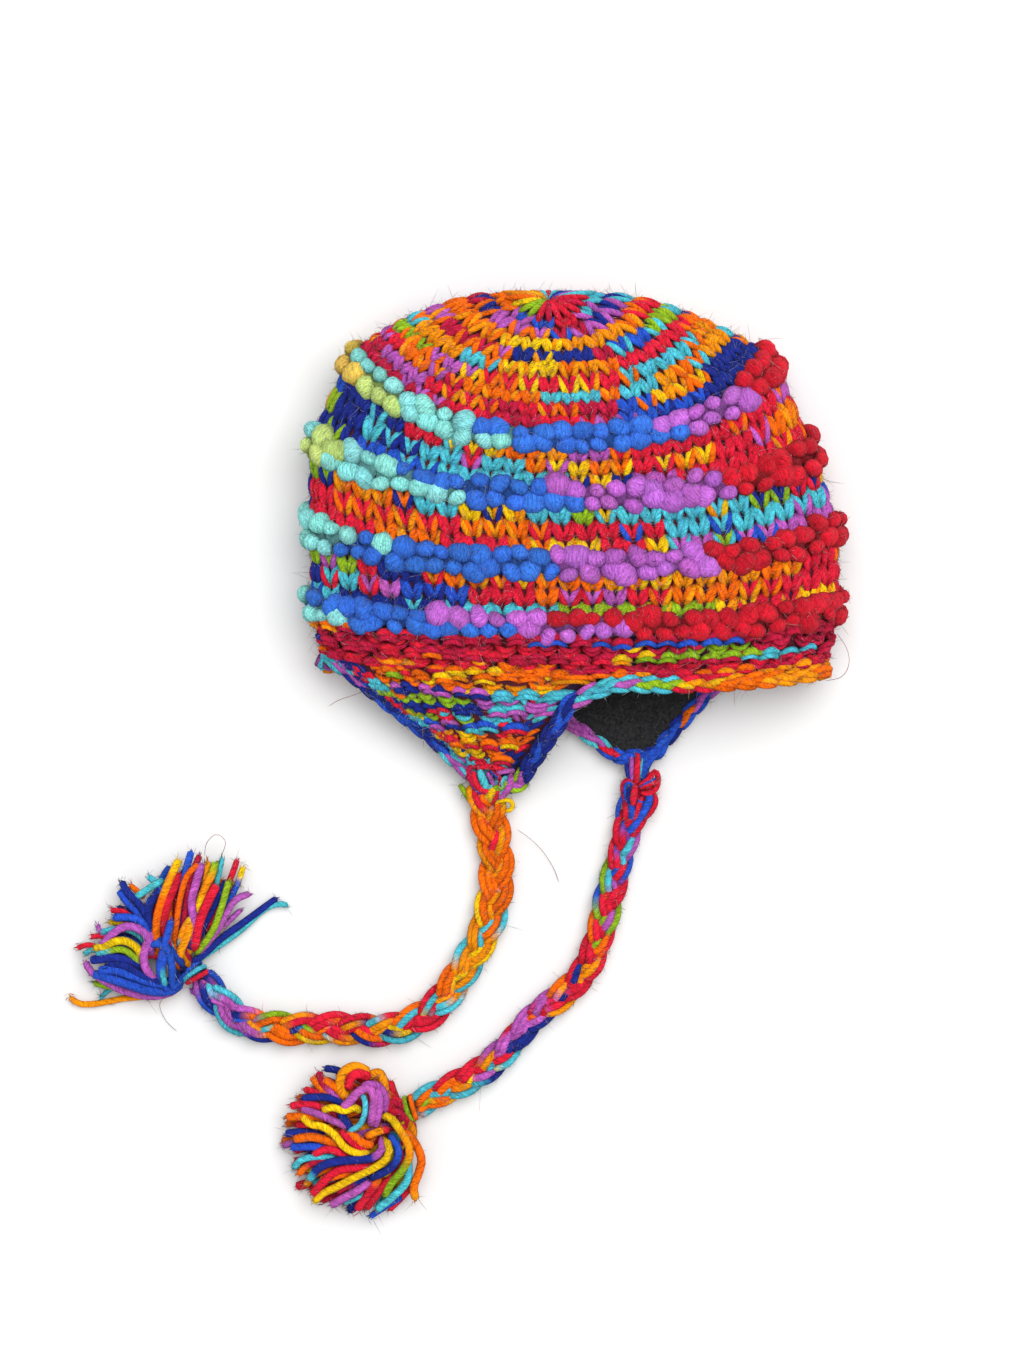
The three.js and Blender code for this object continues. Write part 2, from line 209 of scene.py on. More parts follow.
yarnLook = {"Twist": 0.11, "Plies": 2.0, "Across": 2.6, "Along": 0.4, "Contrast": 2.7, "bump": 1.0,
            "deep": 0.0014, "sheen": 0.03}
rovingLook = {"Twist": 0.05, "Plies": 0.0, "Across": 1.4, "Along": 2.2, "Contrast": 2.3, "bump": 1.0,
              "deep": 0.0022, "sheen": 0.06}
yarnWool = woolMaterial("yarn_wool", yarnLook)
rovingWool = woolMaterial("roving_wool", rovingLook)
print("materials done")

# strands: many closed tapered tubes as one mesh


def tubes(paths, radii, ups, colours, sides=7, flat=0.85, sideShade=0.34):
    count, points, _ = paths.shape
    ahead = unit(np.gradient(paths, axis=1))
    aside = unit(np.cross(ahead, ups))
    upright = np.cross(aside, ahead)
    if np.ndim(colours[0]) == 1:
        colours = np.repeat(colours[:, None, :], points, 1)
    turn = np.arange(sides) * 2 * math.pi / sides
    ring = (np.cos(turn)[:, None] * aside[:, 1:-1, None, :]
            + flat * np.sin(turn)[:, None] * upright[:, 1:-1, None, :])
    rings = paths[:, 1:-1, None, :] + radii[:, 1:-1, None, None] * ring
    verts = np.concatenate((rings.reshape(count, -1, 3), paths[:, :1], paths[:, -1:]), 1)
    shade = 1 - sideShade * (1 - np.maximum(np.sin(turn), 0)) ** 1.5  # painted shade down the sides, where strands meet
    ringTints = (colours[:, 1:-1, None, :] * shade[:, None]).reshape(count, -1, 3)
    tints = np.concatenate((ringTints, colours[:, :1], colours[:, -1:]), 1)
    length = runLength(paths) + dice.uniform(0, 400, (count, 1))  # no two strands show the same fibres
    rows = points - 2
    row, side = np.meshgrid(np.arange(rows - 1), np.arange(sides), indexing="ij")
    row, side = row.ravel(), side.ravel()
    beside = (side + 1) % sides
    quads = np.stack((row * sides + side, (row + 1) * sides + side,
                      (row + 1) * sides + beside, row * sides + beside), 1)
    quadRow = np.stack((row, row + 1, row + 1, row), 1) + 1
    quadTurn = np.stack((side, side, side + 1, side + 1), 1) / sides
    edge = np.arange(sides)
    start, end, last = rows * sides, rows * sides + 1, (rows - 1) * sides
    tris = np.concatenate((np.stack((np.full(sides, start), edge, (edge + 1) % sides), 1),
                           np.stack((np.full(sides, end), last + (edge + 1) % sides, last + edge), 1)))
    first = np.tile((0, 1, 1), (sides, 1))
    triRow = np.concatenate((first, points - 1 - first))
    triTurn = np.concatenate((np.stack((edge + 0.5, edge, edge + 1), 1),
                              np.stack((edge + 0.5, edge + 1, edge), 1))) / sides
    middles = np.concatenate((np.repeat(paths[:, 1:-1, None, :], sides, 2).reshape(count, -1, 3),
                              paths[:, 1:2], paths[:, -2:-1]), 1)
    return {"verts": verts, "tints": tints, "middles": middles, "length": length, "quads": quads, "tris": tris,
            "quadRow": quadRow, "triRow": triRow, "quadTurn": quadTurn, "triTurn": triTurn, "points": points}


shedding = {}  # strands that fuzz can grow on, by piece


def strandPiece(name, bundles, material):
    shedding[name] = bundles
    total = sum(len(bundle["verts"]) for bundle in bundles)
    cells = math.ceil(math.sqrt(total))
    verts, tints, loops, sizes, yarnUv, bakeUv = [], [], [], [], [], []
    offset = done = 0
    for bundle in bundles:
        count, each, _ = bundle["verts"].shape
        verts.append(bundle["verts"].reshape(-1, 3))
        tints.append(bundle["tints"].reshape(-1, 3))
        base = offset + np.arange(count)[:, None] * each
        cell = done + np.arange(count)[:, None]
        for faces, rows, turns in (("quads", "quadRow", "quadTurn"), ("tris", "triRow", "triTurn")):
            corner = bundle[faces].ravel()
            row, turn = bundle[rows].ravel(), bundle[turns].ravel()
            loops.append((base + corner).ravel())
            sizes.append(np.full(count * len(bundle[faces]), bundle[faces].shape[1]))
            along = bundle["length"][:, row]
            yarnUv.append(np.stack((along, np.broadcast_to(turn, along.shape)), -1).reshape(-1, 2))
            inside = np.stack((row / (bundle["points"] - 1), np.minimum(turn, 1)), -1) * 0.88 + 0.06
            corner = np.stack((cell % cells, cell // cells), -1)
            bakeUv.append(((corner + inside) / cells).reshape(-1, 2))
        offset += count * each
        done += count
    return meshPiece(name, np.concatenate(verts), np.concatenate(tints), np.concatenate(loops),
                     np.concatenate(sizes), np.concatenate(yarnUv), np.concatenate(bakeUv), material)


def meshPiece(name, verts, tints, loops, sizes, yarnUv, bakeUv, material):
    mesh = bpy.data.meshes.new(name)
    mesh.vertices.add(len(verts))
    mesh.vertices.foreach_set("co", (verts * mm).astype(np.float32).ravel())
    mesh.loops.add(len(loops))
    mesh.loops.foreach_set("vertex_index", loops.astype(np.int32))
    mesh.polygons.add(len(sizes))
    mesh.polygons.foreach_set("loop_start", np.concatenate(([0], np.cumsum(sizes)[:-1])).astype(np.int32))
    mesh.update(calc_edges=True)
    mesh.shade_smooth()
    colour = mesh.attributes.new("tint", "FLOAT_COLOR", "POINT")
    rgba = np.concatenate((tints, np.ones((len(tints), 1))), 1)
    colour.data.foreach_set("color", rgba.astype(np.float32).ravel())
    for label, uv in (("OFBake", bakeUv), ("yarn", yarnUv)):
        mesh.uv_layers.new(name=label).uv.foreach_set("vector", uv.astype(np.float32).ravel())
    mesh.materials.append(material)
    piece = bpy.data.objects.new(name, mesh)
    bpy.context.scene.collection.objects.link(piece)
    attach(piece, "root")
    print(name, "has", int((sizes - 2).sum()), "triangles")
    return piece


# ties: the laid braids, through the same places as the solids

ties = {
    "upper": {
        "width": 17, "startWider": 0.2, "lay": 43, "root": (-44.5, -121, 9.5),
        "route": [(-44, -128, 7.5), (-42, -138, 6.4), (-40, -150, 6.2), (-38.5, -161, 6.2), (-39.5, -175, 6.2),
                  (-43, -190, 6.2), (-48, -202, 6.2), (-55, -214, 6.2), (-63, -226, 6.2), (-72, -235, 6.2),
                  (-84, -241.5, 6.2), (-97, -245, 6.2), (-117, -244, 6.2), (-137, -244, 6.2), (-156, -243, 6.2),
                  (-167, -240, 6.2), (-176, -233, 6.2), (-183, -225.5, 6.2), (-189, -218.5, 6.2)],
        "dyes": [(0.1, "NOYRO"), (0.22, "OONOO"), (0.4, "OAOYOOYOT"), (0.52, "LRORTY"), (0.7, "RYORTRN"),
                 (0.79, "ONLOR"), (1, "VTNBV")],
    },
    "lower": {
        "width": 15, "startWider": 0, "lay": 38, "root": (31.5, -127, 6.4),
        "route": [(31.6, -133, 6.2), (29.6, -138, 6), (26.5, -146, 5.8), (23, -160.5, 5.8), (18, -177, 5.8),
                  (15, -191, 5.8), (10.5, -205, 5.8), (6, -214, 5.8), (0, -222, 5.8), (-8, -228.5, 5.8),
                  (-17, -235.5, 5.8), (-24.5, -243, 5.8), (-31, -251, 5.8), (-38, -258.5, 5.8),
                  (-47, -265.5, 5.8), (-59, -272.5, 5.8), (-71, -278.5, 5.8), (-80, -283, 5.8)],
        "dyes": [(0.05, "RBR"), (0.16, "TVRTBV"), (0.27, "LRVTR"), (0.38, "RVLRO"), (0.52, "ONYOR"),
                 (0.66, "RVNOR"), (0.84, "OYVTR"), (1, "LTO")],
    },
}


def smoothRoute(points, spacing, closed=False):  # Catmull-Rom through the points, evenly spaced
    points = np.array(points, float)
    count = len(points)
    if closed:
        padded = np.concatenate((points[-1:], points, points[:2]))
    else:
        padded = np.concatenate((2 * points[:1] - points[1:2], points, 2 * points[-1:] - points[-2:-1]))
    share = np.linspace(0, 1, 24, endpoint=False)[:, None]
    fine = []
    for i in range(count if closed else count - 1):
        a, b, c, d = padded[i:i + 4]
        fine.append(b + 0.5 * share * (c - a + share * (2 * a - 5 * b + 4 * c - d
                                                        + share * (3 * (b - c) + d - a))))
    fine = np.concatenate(fine + [points[:1] if closed else points[-1:]])
    length = runLength(fine)
    steps = max(int(round(length[-1] / spacing)), 2)
    even = np.linspace(0, length[-1], steps + 1)
    return readOff(even, length, fine), length[-1]


def runColours(count, spacing, zones, shortest, longest, turn):  # dyed lengths along one yarn, with soft changes
    letters = []
    while len(letters) < count:
        zone = zoneAt(zones, len(letters) / count)
        letter = zone[turn % len(zone)]
        turn += dice.integers(1, 4)
        letters += [ambered(letter)] * int(dice.uniform(shortest, longest) / spacing)
    colours = np.array([dyeTable[letter] for letter in letters[:count]]) * dice.uniform(0.82, 1.12)
    kernel = np.ones(3) / 3
    ends = np.concatenate((colours[:1], colours, colours[-1:]))
    return np.stack([np.convolve(ends[:, k], kernel, "valid") for k in range(3)], 1)


braidLook = {"spacing": 2.0, "yarnRadius": 1.85, "across": (-2.7, 0, 2.7), "rise": (-0.6, 0.7, -0.6), "over": 2.5,
             "wander": 0.45, "runs": (14, 40)}


def braid(side, tie):
    look = braidLook
    centre, length = smoothRoute([tie["root"], *tie["route"]], look["spacing"])
    count = len(centre)
    ahead = unit(np.gradient(centre, axis=0))
    aside = unit(np.cross((0, 0, 1), ahead))
    above = np.cross(ahead, aside)
    along = np.linspace(0, length, count)
    wide = tie["width"] * (1 + tie["startWider"] * np.exp(-along / 55))
    swing = wide / 2 - max(look["across"]) - look["yarnRadius"]
    paths, colours = [], []
    for strand in range(3):
        phase = 2 * math.pi * (along / tie["lay"] + strand / 3)
        middle = (centre + aside * (swing * np.sin(phase))[:, None]
                  - above * (look["over"] * np.sin(2 * phase))[:, None])
        heading = unit(np.gradient(middle, axis=0))
        spread = unit(np.cross(above, heading))
        for across, rise in zip(look["across"], look["rise"]):
            wave = look["wander"] * np.sin(along / dice.uniform(7, 12) + dice.uniform(0, 6))
            paths.append(middle + spread * (across + wave)[:, None] + above * rise)
            colours.append(runColours(count, look["spacing"], tie["dyes"], *look["runs"], 3 * strand + len(colours)))
    paths = np.array(paths)
    radii = np.full(paths.shape[:2], look["yarnRadius"]) * dice.uniform(0.92, 1.1, (len(paths), 1))
    bundle = tubes(paths, radii, above, np.array(colours), sides=8, flat=0.95)
    piece = strandPiece("tie_braid_" + side, [bundle], yarnWool)
    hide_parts("braid_" + side)
    return piece, centre, length


braids = {side: braid(side, tie) for side, tie in ties.items()}

# laid yarns: the knot of the lower tie and the gathered tip of the upper flap, as dye, radius and places

knotYarns = [
    ("R", 1.7, [(32.1, -104.5, 8.6), (32.2, -110, 10.4), (31.8, -116, 10.8), (31.5, -120.6, 9)]),
    ("V", 1.4, [(29.3, -106, 8.4), (29.4, -112, 9.6), (29.6, -119, 9)]),
    ("N", 1.3, [(26.6, -109, 7), (27.2, -114, 8.4), (28.4, -119.5, 8.4)]),
    ("B", 1.8, [(44.6, -102, 6.5), (38.6, -108.5, 8.6), (36.4, -113, 9), (34.5, -119, 7.8)]),
    ("B", 1.7, [(43.2, -100.8, 7), (36, -107.8, 9.3), (34.7, -113, 9.6), (33.4, -118.6, 8.2)]),
    ("T", 0.7, [(34.6, -107, 10.4), (33.9, -113, 10.8), (33.2, -118, 9.6)]),
    ("R", 1.5, [(32.3, -121.8, 9.8), (37.7, -117.7, 11.6), (41, -114, 10.4), (42.6, -117.5, 8.2),
                (41.6, -122.6, 8.6), (37.7, -125.1, 10.8), (33, -124.6, 9.2)]),
    ("R", 1.3, [(32.8, -122.4, 10), (37.4, -120.8, 11.6), (41.6, -119.6, 10), (41.6, -122.2, 7.6)]),
    ("B", 0.8, [(33, -122.2, 10.6), (37.5, -119.4, 12), (41.4, -117.4, 10.6)]),
    ("C", 1.2, [(31, -120.8, 9.4), (26.8, -118.4, 9.6), (24.6, -121.5, 8.4), (25.8, -127.5, 7.6), (28.5, -131, 7)]),
    ("B", 1.0, [(31, -121.4, 9.8), (27.4, -119.8, 10.2), (25.9, -123, 9.2), (26.6, -128, 8.4), (29, -132, 7)]),
    ("N", 1.0, [(30.6, -121.6, 9.8), (28.2, -122.4, 10.4), (27.6, -127, 9.8), (29.2, -132.4, 8)]),
    ("R", 1.9, [(31.2, -120.6, 9.6), (30.7, -123.6, 11), (30.2, -127.5, 10.6), (30.1, -131.4, 8.6)]),
    ("B", 2.1, [(36.5, -124.6, 8.6), (38.2, -127.6, 10), (35.9, -133.2, 10.4), (31.4, -140.6, 8)]),
    ("R", 1.5, [(39.4, -123.6, 8), (41.4, -128.6, 8.6), (39.4, -133.8, 8.8), (35.4, -138.4, 7.6)]),
    ("R", 1.4, [(35, -126.4, 8.4), (33.4, -130, 10), (32, -134.6, 10), (30.4, -139.6, 8)]),
    ("B", 1.3, [(26.4, -124, 6.4), (23.8, -129, 5.8), (22.4, -134, 5), (22.2, -139, 4.4)]),
    ("C", 3.4, [(31, -113, 5), (32, -120, 5.6), (31.6, -128, 5.4), (30, -136, 5)]),
    ("R", 3.0, [(35.4, -114, 5.4), (38, -119.5, 6), (37.4, -126, 6), (35, -133, 5.6)]),
]
swirlYarns = [
    ("T", 1.7, [(-54, -109.2, 11.2), (-50, -109.4, 12.4), (-45, -108.2, 12.4), (-41, -108.8, 11)]),
    ("T", 1.1, [(-40.4, -108.6, 11.6), (-37, -110, 12.4), (-33, -112, 11)]),
    ("R", 1.7, [(-49, -112.6, 11), (-44, -111.4, 12.6), (-38.6, -112, 12.8), (-33.2, -113.4, 11)]),
    ("N", 1.3, [(-37, -109.4, 11), (-32, -108.8, 12), (-26.6, -108, 10.4)]),
    ("V", 1.4, [(-39.6, -115.4, 11.4), (-35.4, -114, 12.6), (-29.4, -113.6, 10.6)]),
    ("T", 2.1, [(-47.4, -113, 11.6), (-46.2, -116.6, 13.2), (-44.8, -120, 12.8), (-43.6, -123.4, 10)]),
    ("V", 1.2, [(-43.6, -114.4, 12), (-41.8, -117.6, 12.8), (-40, -121.6, 11)]),
    ("C", 1.5, [(-45.6, -111.4, 11.4), (-51.4, -111.6, 12), (-53, -115.4, 11.8), (-50, -120.6, 11.8),
                (-46.4, -124.6, 10.4)]),
    ("R", 1.6, [(-50.4, -113.6, 12), (-49.6, -118.4, 12.6), (-45.8, -123.6, 12), (-39.6, -122.8, 10.6)]),
    ("B", 1.0, [(-42, -113.6, 12), (-38.4, -116.6, 12.4), (-35, -119.6, 11.6)]),
    ("C", 1.3, [(-41.4, -113.2, 12), (-37, -117.8, 12.2), (-37.4, -122.4, 11.4), (-41, -124.4, 10)]),
    ("V", 1.9, [(-31.2, -114.8, 11), (-32.2, -120.8, 11.8), (-34.4, -124.6, 10.8), (-38, -128, 8.6)]),
    ("T", 1.2, [(-33.6, -116.4, 11.8), (-36.4, -119.4, 12.2), (-35.6, -124.2, 11.2)]),
    ("N", 1.3, [(-28.6, -114.4, 10), (-29.4, -119.8, 10.2), (-32, -125.4, 9.4)]),
    ("Y", 1.2, [(-39.6, -121.6, 11.4), (-40.8, -125.4, 11.6), (-42.4, -129.6, 9.4)]),
    ("R", 1.3, [(-37.6, -121.4, 11), (-38.8, -126, 11.2), (-41, -130.6, 9.4)]),
    ("L", 1.5, [(-57.6, -120.4, 7.4), (-54.6, -124.8, 7.4), (-52, -129.4, 6.4)]),
    ("Y", 1.2, [(-40.6, -130.4, 9), (-36.6, -128.8, 9.4), (-32.4, -128.6, 8.6), (-30.6, -131.2, 7.6),
                (-32.4, -133.8, 7), (-35.4, -133.2, 7), (-37.6, -131.4, 7.6)]),
]


def laidPaths(yarns, shares):  # paths and tints of yarns laid by a table, at shares of their length
    paths, tints = [], []
    for dyes, radius, places in yarns:
        line, _ = smoothRoute(places, 0.5)
        paths.append(readOff(shares * (len(line) - 1), np.arange(len(line)), line))
        turn = shares * (len(dyes) - 1)
        turn = np.floor(turn) + np.clip((turn % 1 - 0.5) * 4 + 0.5, 0, 1)  # each change of dye is short
        tints.append(readOff(turn, np.arange(len(dyes)), tinted(dyes)))
    return np.array(paths), np.array(tints), np.array([radius for dyes, radius, places in yarns])[:, None]


upward = np.array((0.0, 0, 1))


def laidYarns(name, yarns):
    shares = np.linspace(0, 1, 20)
    paths, tints, thick = laidPaths(yarns, shares)
    bundle = tubes(paths, thick * swell(shares, 0.14, 0.86, 0.4), upward, tints, sides=8, flat=0.9)
    piece = strandPiece(name, [bundle], yarnWool)
    return piece


tieKnot = laidYarns("tie_knot_loops", knotYarns)
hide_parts("tie_knot")
laidYarns("flap_tip_yarns", swirlYarns)

# tassels: strands laid as they fall, over a fill of shorter cut ends

tasselLook = {
    "upper": {"tie": (-195.5, -213.5, 8.5), "yarns": 40, "radius": 2.0, "top": 8, "wraps": "RTB",
              "fans": [(0.45, 54, 104, 44, 56), (0.2, 104, 146, 38, 48), (0.35, 148, 190, 38, 48)],
              "swirl": 42, "dyes": "NNBBBOYRTVNCORNBVY"},
    "lower": {"tie": (-93.5, -291.5, 11), "yarns": 58, "radius": 2.1, "top": 10, "wraps": "OL",
              "middle": (-110, -300.5), "reach": 36, "fromDegrees": 60, "toDegrees": 316,
              "dyes": "OOOORRRRYNTVCOR"},
}
tasselYarns = {  # dyes from the tie outwards, radius and places
    "upper": [
        ("OOOYY", 2.1, [(-206, -209, 11), (-209.5, -198, 14.5), (-209, -186, 16), (-204.5, -172, 15),
                        (-198.5, -158, 11)]),
        ("R", 2.2, [(-202, -206, 12), (-206, -192, 14), (-204, -181, 15), (-201, -173, 14), (-198, -165, 11.5)]),
        ("O", 1.6, [(-201, -202, 13), (-199, -186, 15.5), (-197, -175, 16), (-194, -166, 15), (-188.5, -160.5, 13)]),
        ("NB", 1.9, [(-199, -205, 10), (-198, -180, 12), (-195.5, -166, 12), (-192.5, -154, 9)]),
        ("C", 1.7, [(-197, -200, 12), (-195, -182, 13), (-192, -166, 12.5), (-188, -156, 10)]),
        ("NVVV", 2.2, [(-193.5, -206, 12), (-190.5, -192, 14.5), (-192, -180, 15.5), (-190, -171, 15.5),
                       (-187, -160, 12)]),
        ("AOYYL", 2.1, [(-194, -208, 12), (-189.5, -186, 13), (-186, -174, 15), (-182, -166, 14),
                        (-180, -159.5, 11)]),
        ("R", 2.4, [(-191, -205, 13), (-188, -190, 16), (-184, -180, 16), (-179.5, -171, 14)]),
        ("N", 1.8, [(-193, -206, 10), (-185, -190, 11), (-179, -178, 10.5), (-175, -169, 9)]),
        ("L", 1.8, [(-191, -207, 12), (-182, -195, 13), (-177, -182, 13.5), (-173.5, -169, 12)]),
        ("V", 1.8, [(-190, -207, 10), (-180, -195, 10.5), (-174, -184, 10.5), (-170, -178.5, 10), (-163, -175.5, 8)]),
        ("R", 1.6, [(-186, -196, 9), (-178, -180, 9.5), (-172, -166, 9), (-169.5, -158.5, 7)]),
        ("BBBY", 1.6, [(-186, -198, 7), (-176, -184, 8), (-169.5, -171, 8), (-166.5, -162, 6.5)]),
        ("LV", 1.4, [(-186, -204, 6.5), (-176, -192, 6.5), (-168, -184, 5.5)]),
        ("T", 1.4, [(-188, -192, 10), (-182, -178, 11.5), (-178.5, -166, 11), (-177, -157.5, 8.5)]),
        ("OY", 1.6, [(-190, -186, 12), (-185.5, -171, 13), (-184, -159, 11)]),
        ("O", 2.2, [(-199, -210, 12), (-197, -203, 15), (-193.5, -195, 15.5), (-191, -188, 14)]),
        ("TAY", 1.8, [(-198, -203, 13), (-197, -196, 15.5), (-194, -190, 15.5), (-191, -186.5, 13.5)]),
        ("B", 1.9, [(-197, -218, 9), (-204.5, -223.5, 12), (-208, -213, 16.5), (-206, -204, 18), (-204, -196, 18.5),
                    (-202, -188.5, 16.5)]),
        ("B", 2.0, [(-196, -217, 10), (-201.5, -222, 13), (-201.5, -213, 17), (-203.5, -204, 18.5),
                    (-208, -200.5, 17.5), (-212.5, -201, 15)]),
        ("TB", 1.6, [(-205, -222, 14.5), (-206.5, -214, 17), (-204.5, -205, 18)]),
        ("V", 2.1, [(-212, -208, 12), (-213.5, -198, 16), (-219, -192.5, 17.5), (-226, -192, 17), (-232, -196, 15),
                    (-237.5, -202, 12)]),
        ("Y", 2.1, [(-217, -210, 12), (-219, -203, 15.5), (-225, -199, 17), (-231, -199.5, 16), (-236, -202, 13.5),
                    (-241, -203, 11)]),
        ("LLT", 1.8, [(-217, -213, 12), (-221, -207, 14.5), (-226, -203.5, 15.5), (-231, -203.5, 15),
                      (-240, -206, 11.5)]),
        ("N", 2.3, [(-214, -215, 11), (-221, -210, 13.5), (-229, -207.5, 14), (-236, -208, 13), (-243, -209, 10.5)]),
        ("V", 2.3, [(-199, -219, 9), (-208, -220, 12), (-214, -214.5, 15), (-216, -207, 16), (-214, -200, 15),
                    (-210, -194, 13)]),
        ("V", 1.9, [(-196, -220, 7), (-203, -225.5, 8), (-214, -227.5, 8), (-228, -224, 9), (-237, -219, 9.5),
                    (-243.5, -214.5, 9), (-246, -209.5, 8)]),
        ("B", 2.5, [(-196, -216, 9), (-203, -221, 11), (-213, -219.5, 13.5), (-223, -216, 14.5), (-232, -213.5, 13),
                    (-239, -214.5, 11)]),
        ("B", 2.5, [(-196, -219, 8), (-203, -224.5, 9.5), (-214, -224, 12), (-225, -220.5, 13), (-235, -217.5, 11.5),
                    (-242, -216, 9)]),
        ("N", 2.0, [(-197, -215, 10), (-205, -220, 12.5), (-216, -217, 15), (-226, -211.5, 15), (-235, -211, 12.5)]),
        ("B", 2.1, [(-213, -200, 12), (-216, -191, 14.5), (-222, -187.5, 14.5), (-231.5, -187.5, 11)]),
        ("N", 1.9, [(-212, -197, 12), (-215, -186, 13.5), (-219, -180, 13), (-225, -174, 11), (-227.5, -169.5, 9)]),
        ("B", 1.9, [(-213, -198, 11), (-219, -186, 12), (-225, -179.5, 10.5), (-229, -174, 8.5)]),
        ("N", 2.0, [(-209, -201, 12), (-213.5, -188, 14), (-212.5, -180, 14), (-208, -173, 12)]),
        ("B", 1.8, [(-211, -197, 12), (-214, -183, 13.5), (-210, -176, 13), (-205, -171.5, 11)]),
        ("T", 1.8, [(-221, -178, 11.5), (-216, -174.5, 13), (-210, -170.5, 12.5), (-207, -169, 10)]),
        ("T", 1.7, [(-207.5, -176, 10.5), (-210, -170.5, 10.5), (-214, -167, 9)]),
        ("O", 1.5, [(-216, -178, 9.5), (-220, -174, 9.5), (-223.5, -171.5, 8)]),
        ("R", 1.5, [(-219, -190, 9), (-226, -185, 9.5), (-233, -184, 8)]),
        ("OY", 1.4, [(-220, -193, 9), (-227, -190.5, 9.5), (-233.5, -190, 8)]),
        ("T", 1.6, [(-214, -202, 10), (-220, -195.5, 13), (-228, -193, 12.5), (-238, -195, 9)]),
        ("R", 1.4, [(-230, -199, 8), (-238, -197, 8.5), (-243, -197.5, 7)]),
        ("R", 1.4, [(-238, -204, 7), (-244, -201.5, 7.5), (-250, -203, 6)]),
        ("V", 1.3, [(-232, -199, 9), (-238, -195, 8.5), (-240, -191.5, 7)]),
        ("T", 1.4, [(-236, -206, 9), (-242, -204, 8.5), (-246.5, -206, 6)]),
        ("L", 1.6, [(-222, -225, 4.5), (-233, -223, 5), (-242, -221, 3.5)]),
        ("T", 1.2, [(-228, -222, 4), (-235, -225, 3), (-239, -229, 2)]),
        ("Y", 1.6, [(-198, -221, 5), (-206, -226.5, 4), (-218, -228, 2.8), (-228, -229, 2.2), (-241, -231.5, 2),
                    (-250, -231.5, 2), (-254.5, -228, 2)]),
        ("N", 1.8, [(-199, -214, 11), (-186, -206, 9.5), (-178, -198.5, 7), (-166, -190, 4.5), (-155, -182, 3),
                    (-149.5, -178, 2.4)]),
        ("T", 1.5, [(-192, -211, 8), (-180, -203, 5), (-168, -194.5, 3.5), (-157, -184.5, 2.4), (-149, -181, 2.4),
                    (-144, -182, 2.4)]),
    ],
    "lower": [
        ("O", 2.5, [(-112, -280, 14.5), (-117, -273, 16.5), (-116, -265.5, 17), (-110, -262, 16),
                    (-103, -265, 13.5)]),
        ("R", 2.5, [(-113, -274, 16.5), (-112, -268, 18), (-108, -265.5, 18), (-102.5, -267.5, 16)]),
        ("O", 2.3, [(-95, -276, 11.5), (-95.5, -270, 12.5), (-98, -265.5, 12), (-104, -267.5, 13)]),
        ("V", 2.3, [(-102, -293, 17), (-101, -284, 19.5), (-100, -277, 20.5), (-103, -272.5, 21),
                    (-108, -274.5, 20.5), (-112, -279, 19.5), (-116, -282.5, 18)]),
        ("V", 2.0, [(-95, -286, 15), (-94.5, -278, 17), (-97, -272.5, 19), (-102, -270.5, 20), (-106, -272, 20)]),
        ("V", 1.9, [(-100, -293, 17), (-97.5, -284, 19), (-97.5, -276, 19.5), (-100, -272, 19)]),
        ("T", 1.5, [(-106, -275, 20.5), (-104.5, -280, 21.5), (-105, -286, 21), (-107.5, -291, 20),
                    (-112.5, -294.5, 18)]),
        ("Y", 1.9, [(-106.5, -285.5, 16.5), (-109.5, -282.5, 18), (-115, -284, 18.5), (-121, -282.5, 18),
                    (-126, -284, 16)]),
        ("N", 1.9, [(-115, -266, 11), (-120, -264, 12), (-125, -263.5, 10.5)]),
        ("VC", 1.9, [(-115, -281, 14), (-122, -275, 15), (-126.5, -270, 14), (-128, -265, 12)]),
        ("O", 2.0, [(-114, -279, 15.5), (-119, -273, 16), (-125.5, -268.5, 14.5)]),
        ("O", 2.1, [(-118, -278, 13.5), (-126, -274, 13.5), (-131.5, -267.5, 11.5)]),
        ("R", 1.8, [(-118, -280, 13), (-127, -276, 13.5), (-135.5, -274, 11)]),
        ("N", 2.0, [(-114, -282, 14.5), (-122, -278, 16), (-130, -277.5, 15), (-136.5, -278.5, 12.5)]),
        ("CRR", 2.0, [(-116, -288, 13), (-127, -282.5, 14.5), (-135, -281, 13.5), (-142.5, -282.5, 11)]),
        ("V", 1.9, [(-113, -293, 16.5), (-121, -289, 17.5), (-128, -286, 16.5), (-136.5, -283.5, 13.5)]),
        ("N", 2.1, [(-111, -295, 15.5), (-114, -290, 17), (-117.5, -285.5, 16)]),
        ("O", 2.2, [(-118, -289, 13), (-133, -287.5, 13), (-144.5, -288, 10)]),
        ("Y", 2.0, [(-101, -304.5, 18), (-108, -305.5, 19.5), (-115, -302, 20), (-120, -296, 19.5), (-126, -292, 18),
                    (-132.5, -291, 15.5), (-136.5, -287, 13)]),
        ("R", 1.7, [(-122, -294, 11.5), (-131, -292, 12), (-139.5, -292, 9.5)]),
        ("O", 2.3, [(-111, -302, 15), (-121, -300, 16.5), (-131, -297.5, 15.5), (-140.5, -299, 12)]),
        ("N", 2.0, [(-124, -297, 11), (-136, -295.5, 11), (-145, -296.5, 8.5)]),
        ("BV", 1.7, [(-126, -302, 9), (-138, -300.5, 9), (-146.5, -303, 6.5)]),
        ("B", 2.2, [(-118, -305, 13), (-129, -302.5, 14), (-142, -303, 10.5)]),
        ("R", 2.1, [(-111, -309, 16), (-118, -305, 17.5), (-124, -303.5, 17), (-130.5, -306.5, 14)]),
        ("R", 2.0, [(-103, -304, 17), (-109.5, -301, 18.5), (-114, -297, 18.5), (-117, -294.5, 17)]),
        ("O", 2.2, [(-100, -301.5, 17.5), (-105, -300.5, 19), (-109, -297.5, 19), (-113.5, -295, 17)]),
        ("OOR", 2.0, [(-105, -297.5, 17), (-99.5, -295, 18), (-93, -293.5, 16)]),
